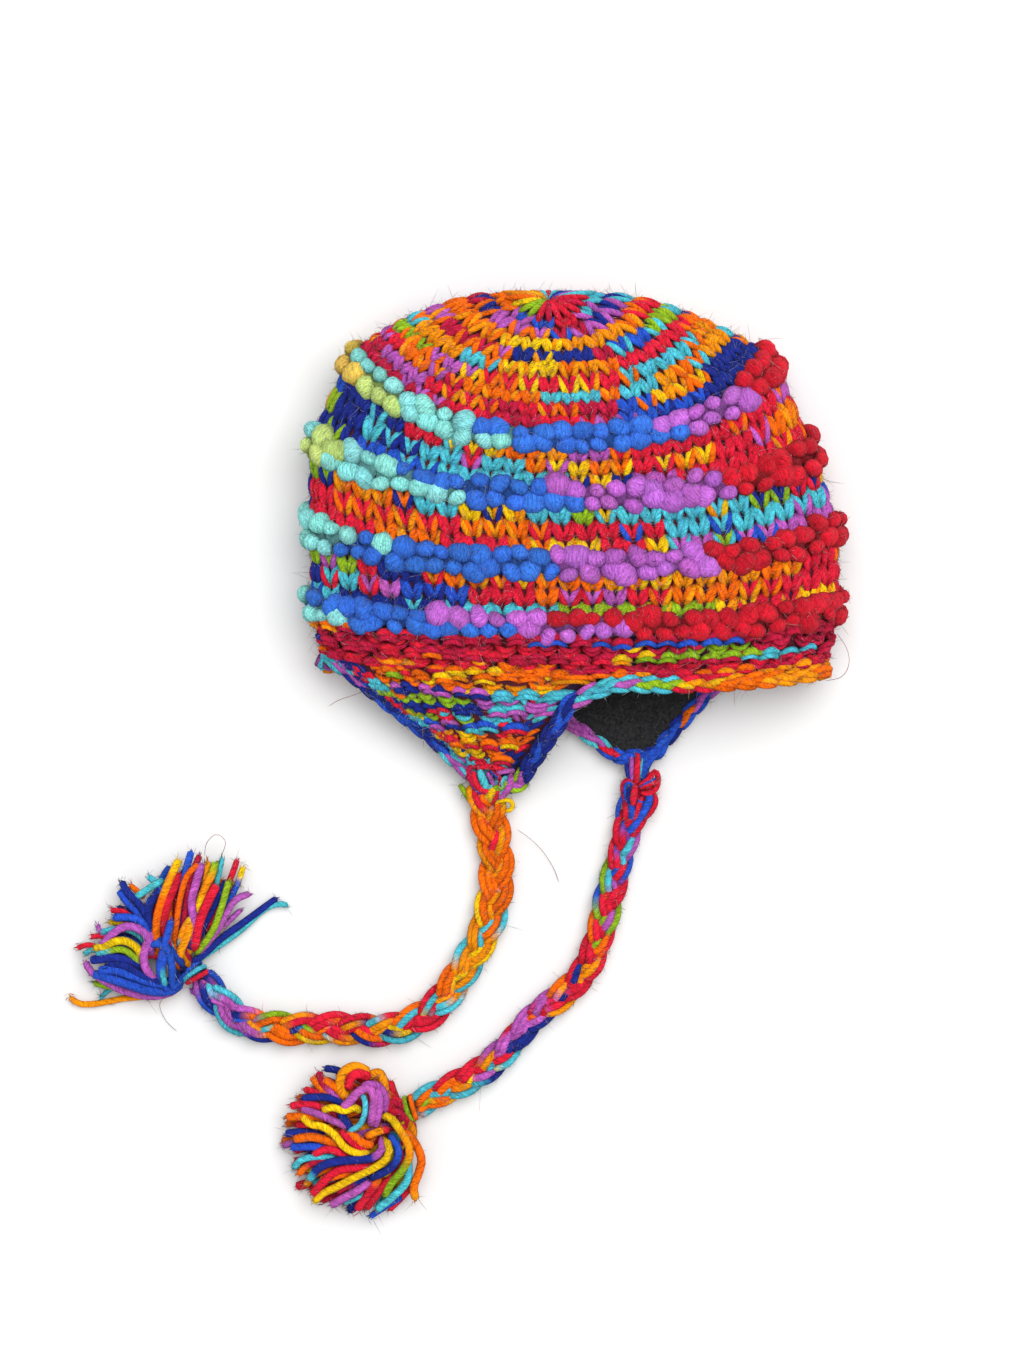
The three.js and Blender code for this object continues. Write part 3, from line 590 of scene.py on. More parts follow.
        ("VVNNNNT", 2.2, [(-97, -296, 17), (-96, -303, 19), (-101, -307.5, 20), (-110, -308.5, 20),
                          (-120, -309.5, 18.5), (-128, -313, 15.5), (-133, -319.5, 12)]),
        ("T", 1.8, [(-116, -308, 14), (-127, -307.5, 14.5), (-136, -309, 12), (-141, -313.5, 9)]),
        ("CCO", 1.8, [(-114, -312, 14), (-126, -309.5, 14), (-134, -312.5, 12), (-138.5, -317, 9)]),
        ("OA", 1.8, [(-118, -314, 12), (-129, -316, 11), (-135, -322.5, 8)]),
        ("R", 2.2, [(-100, -311.5, 17), (-109, -312.5, 18.5), (-118, -314, 17), (-125, -319.5, 15),
                    (-131.5, -327, 11.5)]),
        ("O", 2.1, [(-110, -315, 15), (-119, -317, 15), (-127, -319.5, 12.5)]),
        ("Y", 2.0, [(-96, -296.5, 18), (-92.5, -302, 20), (-94, -308, 20.5), (-101, -313, 20), (-110, -317.5, 18.5),
                    (-119, -322.5, 16), (-126, -326, 13), (-131, -331, 10)]),
        ("BBNN", 2.1, [(-93, -295.5, 16.5), (-88.5, -302, 18), (-88.5, -308, 18.5), (-93, -313.5, 18.5),
                       (-102, -318, 16)]),
        ("YYYYLLL", 2.1, [(-98, -287.5, 17), (-92.5, -287, 18.5), (-87, -294, 19.5), (-83, -301, 19.5),
                          (-82.5, -307, 19), (-86, -314, 17), (-91, -320, 14.5), (-95.5, -328, 11)]),
        ("OOOOA", 2.2, [(-86, -293, 14), (-79.5, -301, 14.5), (-76.5, -309, 14), (-78, -316, 13.5), (-80.5, -323, 12),
                        (-79.5, -329.5, 9.5)]),
        ("R", 1.6, [(-87, -303, 14.5), (-86, -310, 14.5), (-89, -316, 14), (-97, -322, 12.5)]),
        ("NTTTT", 2.1, [(-85, -303, 14), (-83, -312, 14.5), (-84, -320, 13.5), (-90, -327, 12), (-99.5, -335, 9)]),
        ("B", 1.6, [(-86, -328, 9), (-95, -333.5, 8), (-102.5, -338.5, 6)]),
        ("R", 1.8, [(-81, -322, 8), (-87, -329, 7.5), (-93, -335, 5.5)]),
        ("ORR", 2.2, [(-97, -317, 14), (-101, -323, 14.5), (-105, -329, 12.5), (-109, -334.5, 9.5)]),
        ("R", 2.0, [(-94, -319, 12.5), (-99, -327, 12), (-104.5, -334, 9.5)]),
        ("V", 2.2, [(-101, -319, 14), (-108, -324, 14.5), (-115, -328, 13), (-122, -332.5, 10)]),
        ("NC", 2.0, [(-103, -317, 14), (-112, -321.5, 14), (-119, -325, 12)]),
        ("T", 1.3, [(-104, -326, 12), (-110, -329, 11.5), (-115.5, -331.5, 9.5)]),
        ("N", 1.5, [(-107, -327, 9), (-113.5, -334.5, 6.5)]),
    ],
}
cutShares = np.concatenate((np.linspace(0, 0.95, 14), (0.985, 1.0)))
cutTaper = np.concatenate((np.ones(13), (0.98, 0.9, 0.55)))
frayLook = {"each": 6, "lengths": (1, 2.6), "opens": 0.3, "strays": 0.75, "radii": (0.2, 0.24, 0.2, 0.06)}
wrapLook = {"radius": 1.35, "size": 5, "apart": 2.3, "turns": 1.1}


def bezier(a, b, c, d, share):
    s = share[:, None]
    return a * (1 - s) ** 3 + 3 * b * s * (1 - s) ** 2 + 3 * c * s * s * (1 - s) + d * s ** 3


def endTints(letters, points):  # some cut ends change colour once, somewhere; all darken towards the tie, painted shade where the strands gather
    first, second = tinted(letters), tinted(dice.permutation(list(letters)))
    change = np.where(dice.random(len(letters)) < 0.3, dice.uniform(0.3, 0.9, len(letters)), 2)
    share = np.linspace(0, 1, points)
    mix = np.clip((share[None] - change[:, None]) * 8 + 0.5, 0, 1)[..., None]
    return (first[:, None] * (1 - mix) + second[:, None] * mix) * np.minimum(0.45 + 2.2 * share, 1)[None, :, None]


def compass(degrees):
    return np.array((math.cos(math.radians(degrees)), math.sin(math.radians(degrees)), 0))


def upperTassel():
    look = tasselLook["upper"]
    tie = np.array(look["tie"])
    paths = []
    for fan, fromDegrees, toDegrees, shortest, longest in look["fans"]:
        for _ in range(int(fan * look["yarns"])):
            degrees, layer = dice.uniform(fromDegrees, toDegrees), dice.random()
            reach = dice.uniform(shortest, longest) * (1 - 0.16 * layer)
            bend = look["swirl"] * (1 if degrees < 125 else -1) * dice.uniform(0.3, 1.2)
            root = tie + (*dice.uniform(-3.5, 3.5, 2), dice.uniform(-4, 4))
            lift = 2.5 + look["top"] * layer
            mid = root + reach * 0.42 * compass(degrees + bend) + (0, 0, lift * 0.75)
            far = root + reach * 0.8 * compass(degrees + bend * 0.55)
            end = tie + reach * compass(degrees)
            far[2], end[2] = 3 + lift * 0.95, 2.4 + lift * 0.5
            paths.append(bezier(root, mid, far, end, cutShares))
    return np.array(paths), list(dice.choice(list(look["dyes"]), len(paths)))


def lowerTassel():
    look = tasselLook["lower"]
    tie, middle = np.array(look["tie"]), np.array((*look["middle"], 0))
    paths, letters = [], dice.choice(list(look["dyes"]), look["yarns"])
    for i in range(look["yarns"]):
        layer = (i + 0.5) / look["yarns"]
        degrees = look["fromDegrees"] + (look["toDegrees"] - look["fromDegrees"]) * (i * 0.618 % 1)
        reach = look["reach"] * dice.uniform(0.9, 1.06) * (1 - 0.36 * layer ** 1.6)
        end = middle + reach * compass(degrees)
        root = tie + (*dice.uniform(-4, 4, 2), dice.uniform(-5, 5))
        sweep = np.clip((degrees - 190) / 60, -1, 1)
        span = np.linalg.norm(end - root)
        mid = root + span * 0.6 * compass(degrees + 78 * sweep)
        far = end - span * 0.36 * compass(degrees - 42 * sweep + dice.uniform(-14, 14))
        lift = look["top"] * layer
        mid[2], far[2], end[2] = 6 + lift * 1.05, 4 + lift, 2.2 + lift * 0.66
        paths.append(bezier(root, mid, far, end, cutShares))
    return np.array(paths), list(letters)


def frayedEnds(paths, tints):  # fine fibres that open out of the cut ends
    look = frayLook
    tip, ahead = paths[:, -2], unit(paths[:, -1] - paths[:, -4])
    tip, ahead, tint = (np.repeat(v, look["each"], 0) for v in (tip, ahead, tints[:, -1]))
    out = unit(ahead + dice.normal(0, look["opens"], ahead.shape))
    length = dice.uniform(*look["lengths"], (len(out), 1))
    t = np.array((-0.6, -0.2, 0.4, 1.0))
    lines = tip[:, None] + out[:, None] * (length * t)[..., None] + dice.normal(0, look["strays"], (len(out), 1, 3))
    lines[..., 2] = np.maximum(lines[..., 2], 0.5)
    radii = np.array(look["radii"]) * dice.uniform(0.7, 1.3, (len(out), 1))
    return tubes(lines, radii, upward, tint, sides=4, flat=1, sideShade=0)


def tasselWrap(side):  # a tight wrap where the braid ends
    look, dyes = wrapLook, tasselLook[side]["wraps"]
    route = np.array(ties[side]["route"], float)
    ahead = unit(route[-1] - route[-2])
    aside = np.cross(upward, ahead)
    turn = np.linspace(0, 2 * math.pi * look["turns"], 26)
    wraps = []
    for i in range(len(dyes)):
        centre = route[-1] + ahead * (look["apart"] * i + 1) + upward * 0.8
        size = look["size"] + 0.5 * math.sin(i * 1.3)
        wraps.append(centre + aside * (size * 1.15 * np.sin(turn))[:, None]
                     + ahead * (1.2 * np.sin(turn + i))[:, None] + upward * (size * 0.92 * np.cos(turn))[:, None])
    wraps = np.array(wraps)
    ups = unit(wraps - wraps.mean(1, keepdims=True))
    return tubes(wraps, np.full(wraps.shape[:2], look["radius"]), ups, tinted(dyes))


def tassel(side, shape):
    look = tasselLook[side]
    paths, letters = shape()
    wave = np.sin(cutShares * dice.uniform(5, 9, (len(paths), 1)) + dice.uniform(0, 6, (len(paths), 1)))
    paths = paths + dice.normal(0, 0.75, (len(paths), 1, 3)) * (wave * cutShares)[..., None]
    paths[..., 2] = np.maximum(paths[..., 2], look["radius"])
    radii = look["radius"] * cutTaper * dice.uniform(0.85, 1.15, (len(paths), 1))
    laid, laidTints, thick = laidPaths(tasselYarns[side], cutShares)
    paths, radii = np.concatenate((paths, laid)), np.concatenate((radii, thick * cutTaper))
    # The fill is a fifth darker; the laid yarns darken towards the tie, painted shade where the strands gather.
    tints = np.concatenate((endTints(letters, len(cutShares)) * 0.8,
                            laidTints * np.minimum(0.55 + 2.4 * cutShares, 1)[None, :, None]))
    bundles = [tubes(paths, radii, upward, tints, sides=8, flat=0.95), frayedEnds(paths, tints), tasselWrap(side)]
    piece = strandPiece("yarn_tassel_" + side, bundles, yarnWool)
    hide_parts("tassel_" + side)
    return piece


tassels = {"upper": tassel("upper", upperTassel), "lower": tassel("lower", lowerTassel)}
for side, (piece, centre, length) in braids.items():
    print("tie", side, "is", round(length), "mm long")

# crown form: flattened courses from the brim to the pole, as in the solid

courses = {
    "leftX": (-129, -134, -135, -133, -113, -91, -64, -40, -13),
    "rightX": (129, 135, 134, 122, 101, 71, 42, 15, -13),
    "leftY": (-55, -30, 9, 54, 96, 113, 124, 128, 123),
    "rightY": (-59, -31, 9, 49, 94, 113, 124, 128, 123),
    "topY": (-67, -42, -11, 23, 51, 77, 97, 109, 123),
    "underY": (-56, -34, 2, 38, 75, 102, 121, 129, 123),
    "foldZ": (20, 24, 26, 27, 28, 29, 31, 34, 40),
    "topZ": (44, 54, 60, 62, 62, 60, 55, 49, 40),
    "underZ": (-8, -8, -8, -8, -8, -3, 8, 20, 40),
}
form = {"roundness": 0.77, "bowing": 1.6, "pole": 8, "wall": 7, "gap": 0.4}
dents = [{"x": -7, "y": 81, "wide": 38, "long": 6, "deep": 3.2}]


def spline(column, step):
    values = np.array(column, float)
    last = len(values) - 1
    index = np.minimum(np.floor(step).astype(int), last - 1)
    share = step - index
    before, start, end, after = (values[np.clip(index + k, 0, last)] for k in (-1, 0, 1, 2))
    slopeIn, slopeOut = (end - before) / 2, (after - start) / 2
    cube = 2 * start - 2 * end + slopeIn + slopeOut
    square = 3 * end - 3 * start - 2 * slopeIn - slopeOut
    return ((cube * share + square) * share + slopeIn) * share + start


def formPoint(angle, step):
    angle, step = np.broadcast_arrays(np.asarray(angle, float), np.asarray(step, float))
    row = {name: spline(column, step) for name, column in courses.items()}
    cosine, sine = np.cos(angle), np.sin(angle)
    across = (1 + np.sign(cosine) * np.abs(cosine) ** form["roundness"]) / 2
    middleY = np.where(sine > 0, row["topY"], row["underY"])
    middleZ = np.where(sine > 0, row["topZ"], row["underZ"])
    x = row["leftX"] + (row["rightX"] - row["leftX"]) * across
    y = row["leftY"] + (row["rightY"] - row["leftY"]) * across
    y = y + (middleY - (row["leftY"] + row["rightY"]) / 2) * np.abs(sine) ** form["bowing"]
    z = row["foldZ"] + (middleZ - row["foldZ"]) * np.abs(sine) ** form["roundness"]
    for dent in dents:
        away = ((x - dent["x"]) / dent["wide"]) ** 2 + ((y - dent["y"]) / dent["long"]) ** 2
        z = z - np.where(sine > 0, dent["deep"] * np.exp(-away), 0)
    return np.stack((x, y, np.maximum(z, 0)), -1)


def formNormal(angle, step):
    angle, step = np.broadcast_arrays(np.asarray(angle, float), np.asarray(step, float))
    low, high = np.maximum(step - 0.1, 0), np.minimum(step + 0.1, form["pole"] - 0.1)
    around = formPoint(angle + 0.07, step) - formPoint(angle - 0.07, step)
    return unit(np.cross(formPoint(angle, high) - formPoint(angle, low), around))


def wallPoint(angle, step, depth):
    return formPoint(angle, step) - formNormal(angle, step) * np.asarray(depth)[..., None]


# round share 0 is the right fold, 0.25 the middle of the upper layer and 0.5 the left fold
halfTurn, tableColumns = 480, 360
tableSteps = np.linspace(0, form["pole"] - 0.05, 120)
fineAngles = np.linspace(0, 2 * math.pi, 2 * halfTurn + 1)
angleTable, girth = [], []
for step in tableSteps:
    length = runLength(formPoint(fineAngles, step))
    half = length[halfTurn]
    share = np.where(length < half, length / half * 0.5, 0.5 + (length - half) / (length[-1] - half) * 0.5)
    angleTable.append(np.interp(np.linspace(0, 1, tableColumns + 1), share, fineAngles))
    girth.append(length[-1])
angleTable, girth = np.array(angleTable), np.array(girth)


def girthAt(step):
    return np.interp(step, tableSteps, girth)


def angleAt(share, step):
    share, step = np.broadcast_arrays(np.asarray(share, float), np.asarray(step, float))
    turns = np.floor(share)
    row = np.clip(np.interp(step, tableSteps, np.arange(len(tableSteps))), 0, len(tableSteps) - 1.001)
    column = (share - turns) * (tableColumns - 0.001)
    r, c = row.astype(int), column.astype(int)
    fr, fc = row - r, column - c
    low = angleTable[r, c] * (1 - fc) + angleTable[r, c + 1] * fc
    high = angleTable[r + 1, c] * (1 - fc) + angleTable[r + 1, c + 1] * fc
    return low * (1 - fr) + high * fr + turns * 2 * math.pi


def onCrown(share, step, depth):
    angle = angleAt(share, step)
    normal = formNormal(angle, step)
    return formPoint(angle, step) - normal * np.asarray(depth)[..., None], normal


# plain knitting: each stitch has two legs, and each leg is two strands held together

knitLook = {"legRadius": 1.68, "lane": 0.782, "alike": 0.5, "depth": 3.9, "tuckLow": 1.8, "tuckHigh": 2.6,
            "swing": (0.08, 0.96), "climb": (-0.3, 1.16), "points": 9, "columns": 53, "capWidth": 9.4, "fewest": 9,
            "seenAbove": 14}
capRows = ["CVCR|CRVC|NBON", "CVRV|RCRC|NBYN", "ORVC|OAOO|AOTO", "VLCN|RNTR|TNOT", "TORO|YOAY|NTOR",
           "VCVN|NVNC|NLVB", "OAVO|YAYO|TARO", "NVNC|CVCR|LNVT", "OCVY|OVBR|TVRT"]
bandRows = {3: ["NLT|TNB|NTY|LNY|ORV|ROR", "LTN|TTN|TTR|ORY|RYO|ROR", "NBT|NTR|VRY|RVO|ROR|RVO"],
            2: ["ORO|OOR|ROY|ROY|TVL|VTV", "ROR|ROO|ORY|RYO|TTB|TVB", "YLO|YOR|VTY|LTY|NTB|NTN"],
            1: ["NBT|NTN|TVN|TLT|YLR|RYR", "NTN|BNV|VRO|RRO|ORO|YOR", "VRL|RON|OYR|YOR|OAO|OAR"]}


def rowLetters(chart, count, longest=3):  # short runs of dye, picked by the part of the upper layer
    parts = chart.split("|")
    letters = []
    while len(letters) < count:
        across = 1 - 2 * (len(letters) + 0.5) / count
        spot = int(np.clip(across * len(parts) + dice.normal(0, 0.2), 0, len(parts) - 0.01))
        part = parts[spot] if across > 0 else everyDye
        letters += [dice.choice(list(part))] * dice.integers(1, longest + 1)
    return letters[:count]


def legDepth(t, depth, tuckLow, tuckHigh):  # both ends of a leg dip under its neighbours
    return depth + tuckLow * (1 - t) ** 3 + tuckHigh * t ** 4 + 0.9 * (1 - np.sin(math.pi * t))


def knitRow(low, high, count, chart, partner):
    look = knitLook
    column = (np.arange(count)[:, None] + 0.5) / count
    first = rowLetters(chart, count)
    second = np.where(dice.random(count) < look["alike"], first, rowLetters(partner, count))
    t, swing, climb = (np.linspace(*ends, look["points"]) for ends in ((0, 1), look["swing"], look["climb"]))
    around = girthAt((low + high) / 2)
    sunk = legDepth(t, look["depth"], look["tuckLow"], look["tuckHigh"])
    paths, ups, letters = [], [], []
    jitter = dice.normal(0, 0.05, (count, 2))
    for leg in (-1, 1):
        for lane, dye in ((-1, first), (1, second)):
            share = column + leg * swing * 0.5 / count + leg * lane * look["lane"] / around
            step = low + (high - low) * (climb + jitter[:, :1] - 0.1 * lane)
            step = np.clip(step, 0, form["pole"] - 0.12)
            path, normal = onCrown(share, step, sunk - 0.3 * lane + 3 * jitter[:, 1:])
            paths.append(path)
            ups.append(normal)
            letters += list(dye)
    paths, ups = np.concatenate(paths), np.concatenate(ups)
    radii = look["legRadius"] * swell(t, 0.1, 0.9, 0.42) * dice.uniform(0.88, 1.12, (len(paths), 1))
    return paths, radii, ups, np.array(letters)


def knitBundles(rows):  # the upper layer is finer than the layer it lies on
    upper, under = [], []
    for i, (low, high, count, chart) in enumerate(rows):
        partner = rows[(i + 1) % len(rows)][3] if i % 2 else chart
        paths, radii, ups, letters = knitRow(low, high, count, chart, partner)
        seen = paths[:, knitLook["points"] // 2, 2] > knitLook["seenAbove"]
        for picked, kept, sides, every in ((seen, upper, 7, 1), (~seen, under, 5, 2)):
            if picked.any():
                tints = tinted(letters[picked])[:, None] * endShade(knitLook["points"], 0.72)
                kept.append(tubes(paths[picked][:, ::every], radii[picked][:, ::every], ups[picked][:, ::every],
                                  tints[:, ::every], sides))
    return upper, under


bodyRows = []
for band, charts in bandRows.items():
    edges = np.linspace(band + 0.13, band + 0.87, len(charts) + 1)
    for low, high, chart in zip(edges[:-1], edges[1:], charts):
        bodyRows.append((low, high, knitLook["columns"], chart))
capSteps = np.linspace(4.2, 7.4, 200)
climbed = runLength(formPoint(math.pi / 2, capSteps))
capEdges = np.interp(np.linspace(0, climbed[-1], len(capRows) + 1), climbed, capSteps)  # rows of one height
topRows = []
for low, high, chart in zip(capEdges[:-1], capEdges[1:], capRows):
    count = int(round(girthAt((low + high) / 2) / knitLook["capWidth"]))
    topRows.append((low, high, min(max(count, knitLook["fewest"]), knitLook["columns"]), chart))
bodyUpper, bodyUnder = knitBundles(bodyRows)
capUpper, capUnder = knitBundles(topRows)
starLook = {"dyes": "TRCRRRCRLLYOAOOAYOTCTNBVTV", "radius": 1.75, "reach": 0.82, "depth": 1.9, "tuckLow": 0.8,
            "tuckHigh": 1.6}  # the dyes go round from the right fold


def poleStar():  # long strands drawn together at the pole
    look, count, t = starLook, len(starLook["dyes"]), np.linspace(0, 1, 9)
    share = (np.arange(count)[:, None] + 0.5 + 0 * t) / count
    step = form["pole"] - 0.06 - (look["reach"] + dice.normal(0, 0.05, (count, 1))) * t
    paths, ups = onCrown(share, step, look["depth"] + look["tuckHigh"] * t ** 4 + look["tuckLow"] * (1 - t) ** 3)
    radii = look["radius"] * swell(t, 0.08, 0.8, 0.7) * np.ones((count, 1))
    return tubes(paths, radii, ups, tinted(look["dyes"])[:, None] * endShade(len(t), 0.45))


capUpper.append(poleStar())
crownPieces = [strandPiece("crown_knit", bodyUpper, yarnWool), strandPiece("cap_knit", capUpper, yarnWool),
               strandPiece("under_knit", bodyUnder + capUnder, yarnWool)]

# bobble bands: two rows of fat roving bumps on each

bobbleLook = {"along": 5.7, "across": 5.2, "deep": 4.9, "proud": 0.9, "ends": 2.4, "apart": 0.112, "arch": 1.2,
              "tilt": 0.42, "sag": 2.2, "thinnest": 0.72, "thickest": 1.34, "sideShade": 0.55, "points": 11, "sides": 10,
              "pitch": 9.6, "inside": 6.6, "cores": 56, "coreRadius": 5.4, "coreDepth": 4.4}
bobbleBands = [
    {"step": 4, "fuller": 1.6, "upper": [(0.03, "y"), (0.36, "a"), (0.66, "b"), (0.87, "v"), (1, "r")],
     "lower": [(0.08, "y"), (0.2, "g"), (0.42, "a"), (0.7, "b"), (0.88, "v"), (1, "r")]},
    {"step": 3, "upper": [(0.05, "a"), (0.1, "g"), (0.22, "a"), (0.5, "b"), (0.78, "v"), (1, "r")],
     "lower": [(0.06, "g"), (0.33, "a"), (0.54, "b"), (0.8, "v"), (1, "r")]},
    {"step": 2, "upper": [(0.17, "a"), (0.44, "b"), (0.7, "v"), (1, "r")],
     "lower": [(0.09, "a"), (0.48, "b"), (0.72, "v"), (1, "r")]},
    {"step": 1, "upper": [(0.04, "a"), (0.25, "b"), (0.47, "v"), (1, "r")],
     "lower": [(0.14, "a"), (0.42, "b"), (0.6, "v"), (1, "r")]},
]


def bobbleRow(band, row):
    look = bobbleLook
    step = band["step"] + (look["apart"] if row == "upper" else -look["apart"])
    count = int(round(girthAt(step) / look["pitch"]))
    share = (np.arange(count) + (0.25 if row == "upper" else 0.75) + dice.normal(0, 0.09, count)) / count
    across = np.where(share < 0.5, 1 - 2 * share, 2 * share - 1)
    across = np.clip(across + dice.normal(0, 0.014, count), 0, 0.999)
    letters = [zoneAt(band[row], a) for a in across]
    thick = (0.94 + 0.17 * np.sin(share * dice.uniform(60, 80) + dice.uniform(0, 6)) + dice.normal(0, 0.15, count)
             + band.get("fuller", 0) * np.clip(across - 0.8, 0, 0.2))
    thick = np.clip(thick, look["thinnest"], look["thickest"])
    deep = look["deep"] * thick
    angle = angleAt(share, step)
    ground = formPoint(angle, step)
    proud = np.where(ground[:, 2] > 12, look["proud"] + dice.normal(0, 0.5, count), 0)
    proud = proud + look["ends"] * np.clip((np.abs(across - 0.5) - 0.36) / 0.14, 0, 1)
    step = step + dice.normal(0, 0.03, count)
    centre, normal = onCrown(share, step, deep - proud)
    beside, _ = onCrown(share + 0.004, step, deep - proud)
    along = unit(beside - centre)
    uphill = unit(np.cross(normal, along))
    tilt = dice.normal(0, look["tilt"], count)
    axis = along * np.cos(tilt)[:, None] + uphill * np.sin(tilt)[:, None]
    t = -np.cos(np.linspace(0, math.pi, look["points"]))
    reach = look["along"] * thick * dice.uniform(0.84, 1.12, count)
    arch = look["arch"] * (1 if row == "upper" else -1)
    sag = (t ** 2)[None, :, None] * (look["sag"] * normal + arch * uphill)[:, None, :]
    paths = centre[:, None, :] + axis[:, None, :] * (reach[:, None] * t)[..., None] - sag
    lumps = 1 + 0.09 * np.sin(t * dice.uniform(2, 5, (count, 1)) + dice.uniform(0, 6, (count, 1)))
    radii = (look["across"] * thick)[:, None] * np.sqrt(np.maximum(1 - t ** 2, 0)) ** 1.05 * lumps
    paths[..., 2] = np.maximum(paths[..., 2], radii * 0.9)
    # painted shade: each bump darkens towards its ends, where it pinches in between its neighbours
    tints = tinted(letters, 0.16)[:, None] * (0.35 + 0.65 * np.sqrt(1 - 0.97 * t ** 2))[None, :, None]
    bumps = tubes(paths, radii, normal[:, None], tints, look["sides"], look["deep"] / look["across"], look["sideShade"])
    height = ((bumps["verts"] - centre[:, None]) * normal[:, None]).sum(-1)
    sunk = np.maximum((deep - proud)[:, None] - look["inside"] - height, 0)  # flat where it meets the lining
    bumps["verts"] = bumps["verts"] + sunk[..., None] * normal[:, None]
    return bumps


def bobbleShadeCore(band):  # roving behind the bumps at 0.4 of its colour, painted shade in the gaps between them
    look, middles = bobbleLook, (np.arange(bobbleLook["cores"]) + 0.5) / bobbleLook["cores"]
    share = middles[:, None] + np.linspace(-0.62, 0.62, 6) / look["cores"]
    letters = [zoneAt(band["lower"], across) for across in np.abs(1 - 2 * middles)]
    paths, ups = onCrown(share, float(band["step"]), np.full(share.shape, look["coreDepth"]))
    return tubes(paths, np.full(share.shape, look["coreRadius"]), ups, tinted(letters) * 0.4, sides=8, flat=0.4)


bobbleBundles = [bobbleRow(band, row) for band in bobbleBands for row in ("upper", "lower")]
bobbles = strandPiece("crown_bobbles", bobbleBundles + [bobbleShadeCore(band) for band in bobbleBands], rovingWool)

# garter stitch: rows of bumps that curve up and down in turn

garterLook = {"radius": 1.8, "lane": 0.27, "depth": 2.5, "tuck": 2.9, "sunk": 0.9, "sunkThinner": 0.88,
              "reach": 0.56, "crest": 0.26, "bow": 0.85, "strays": (0.09, 0.14, 0.45), "points": 9}
brimRows = ["CRC|OYO|OOY|RCO|RCO|OCO", "RCC|ROR|OCR|CRC|CRC|CCR", "CRC|CCRO|RCC|CYC|LCC|CCT",
            "CCR|RCC|CRO|CCY|CLC|CCC", "CRO|CCR|CRC|CCB|CCB|CNC"]


def garterRow(place, count, letters, others, sunk, offset):  # two strands held together in each bump
    look = garterLook
    t = np.linspace(-1, 1, look["points"])
    column = (np.arange(count) + offset) / count
    bend = np.abs(t) ** 2.4
    shift, lift, deep = (dice.normal(0, size, (count, 1)) for size in look["strays"])
    bundles = []
    for lane, dyes in ((-1, letters), (1, others)):
        share = column[:, None] + (t * look["reach"] + shift) / count
        rise = (look["crest"] - look["bow"] * t ** 2) * (-1 if sunk else 1) + lane * look["lane"] + lift
        depth = look["depth"] + look["tuck"] * bend + deep + (look["sunk"] if sunk else 0)
        paths, ups = place(share, rise, depth)
        radii = look["radius"] * (1 - 0.4 * bend) * dice.uniform(0.78, 1.16, (count, 1))
        tints = tinted(dyes, 0.14)[:, None] * endShade(len(t), 0.75)
        bundles.append(tubes(paths, radii * (look["sunkThinner"] if sunk else 1), ups, tints, sides=6, flat=0.95))
    return bundles


brimSteps = np.linspace(0.06, 0.72, len(brimRows))


def brimRow(i, chart):
    def place(share, rise, depth):
        return onCrown(share, np.maximum(brimSteps[i] + rise * (brimSteps[1] - brimSteps[0]), 0), depth)

    letters, others = (rowLetters(chart, knitLook["columns"], 2) for _ in range(2))
    return garterRow(place, knitLook["columns"], letters, others, i % 2 == 1, 0.5 * (i % 2))


brimBundles = [bundle for i, chart in enumerate(brimRows) for bundle in brimRow(i, chart)]
brimGarter = strandPiece("brim_garter", brimBundles, yarnWool)

# ear flaps hang on the brim between two angles and narrow to a blunt tip

flaps = {
    "upper": {"from": 162, "to": 90, "inward": (0, 0, -1), "sag": 3, "tipFrom": (-47, -116, 11),
              "tipTo": (-33, -116, 11),
              "rows": ["ROL|OYO|OYO", "OOY|OYO|OYO", "NVN|NVN|TVT", "LLO|LLT|TTV", "NNR|NNR|TVT",
                       "LRL|LTR|TTR", "BVN|BVT|TBR", "OYO|OOY|OOR", "OOR|ORO|OYO", "YOY|YOY|YOR", "OYR|OYO|ROC",
                       "CTV|TCV|VCT"],
              "near": (13, 24), "far": 3.5, "runOn": 5, "sides": ("VTNBNNBBNBNTVT", "YORTVTNORNNB"),
              "inner": [("NNRTLRRLTNYTNRTO", (14, 10)), ("NRTLNYTRNLTR", (24, 13))]},
    "lower": {"from": 301, "to": 256, "inward": (0, 0, 1), "sag": 0, "tipFrom": (38, -102, 0),
              "tipTo": (24, -103, 0),
              "rows": ["CRC|RCO|CCR", "OYO|OYR|ORN", "NVL|VNV|LTV", "LTO|LTL|TVL", "NRN|NRV|NNR", "BTN|BTR|BLT",
                       "OYO|OOY|OYR", "RYO|YOR|OYO", "TRC|YOT|CTV"],
              "near": (6.5, 0), "far": 6.5, "runOn": 0, "sides": ("RNBVRN", "VTVTBV"), "inner": []},
}
sideLook = {"radius": 1.55, "pitch": 5, "inset": (4.2, 4.2), "depth": 3.6, "tuckLow": 1.6, "tuckHigh": 2.4,
            "lane": 1.1, "lean": (0.4, 3.8), "climb": (0.5, -1.1), "points": 9, "narrowest": 22}
bothEnds = np.array((0.0, 1.0))


def flapPoint(flap, across, along, depth):
    across, along, depth = np.broadcast_arrays(*(np.asarray(v, float) for v in (across, along, depth)))
    angle = np.radians(flap["from"] + (flap["to"] - flap["from"]) * across)
    top = wallPoint(angle, np.zeros_like(angle), depth) - (0, form["gap"], 0)
    tip = np.array(flap["tipFrom"]) + (np.array(flap["tipTo"]) - flap["tipFrom"]) * across[..., None]
    tip = tip + np.array(flap["inward"]) * depth[..., None]
    point = top + (tip - top) * along[..., None]
    point[..., 2] += flap["sag"] * np.sin(math.pi * along)
    return point


def onFlap(flap, across, along, depth):
    return (flapPoint(flap, across, along, depth),
            unit(flapPoint(flap, across, along, 0) - flapPoint(flap, across, along, form["wall"])))


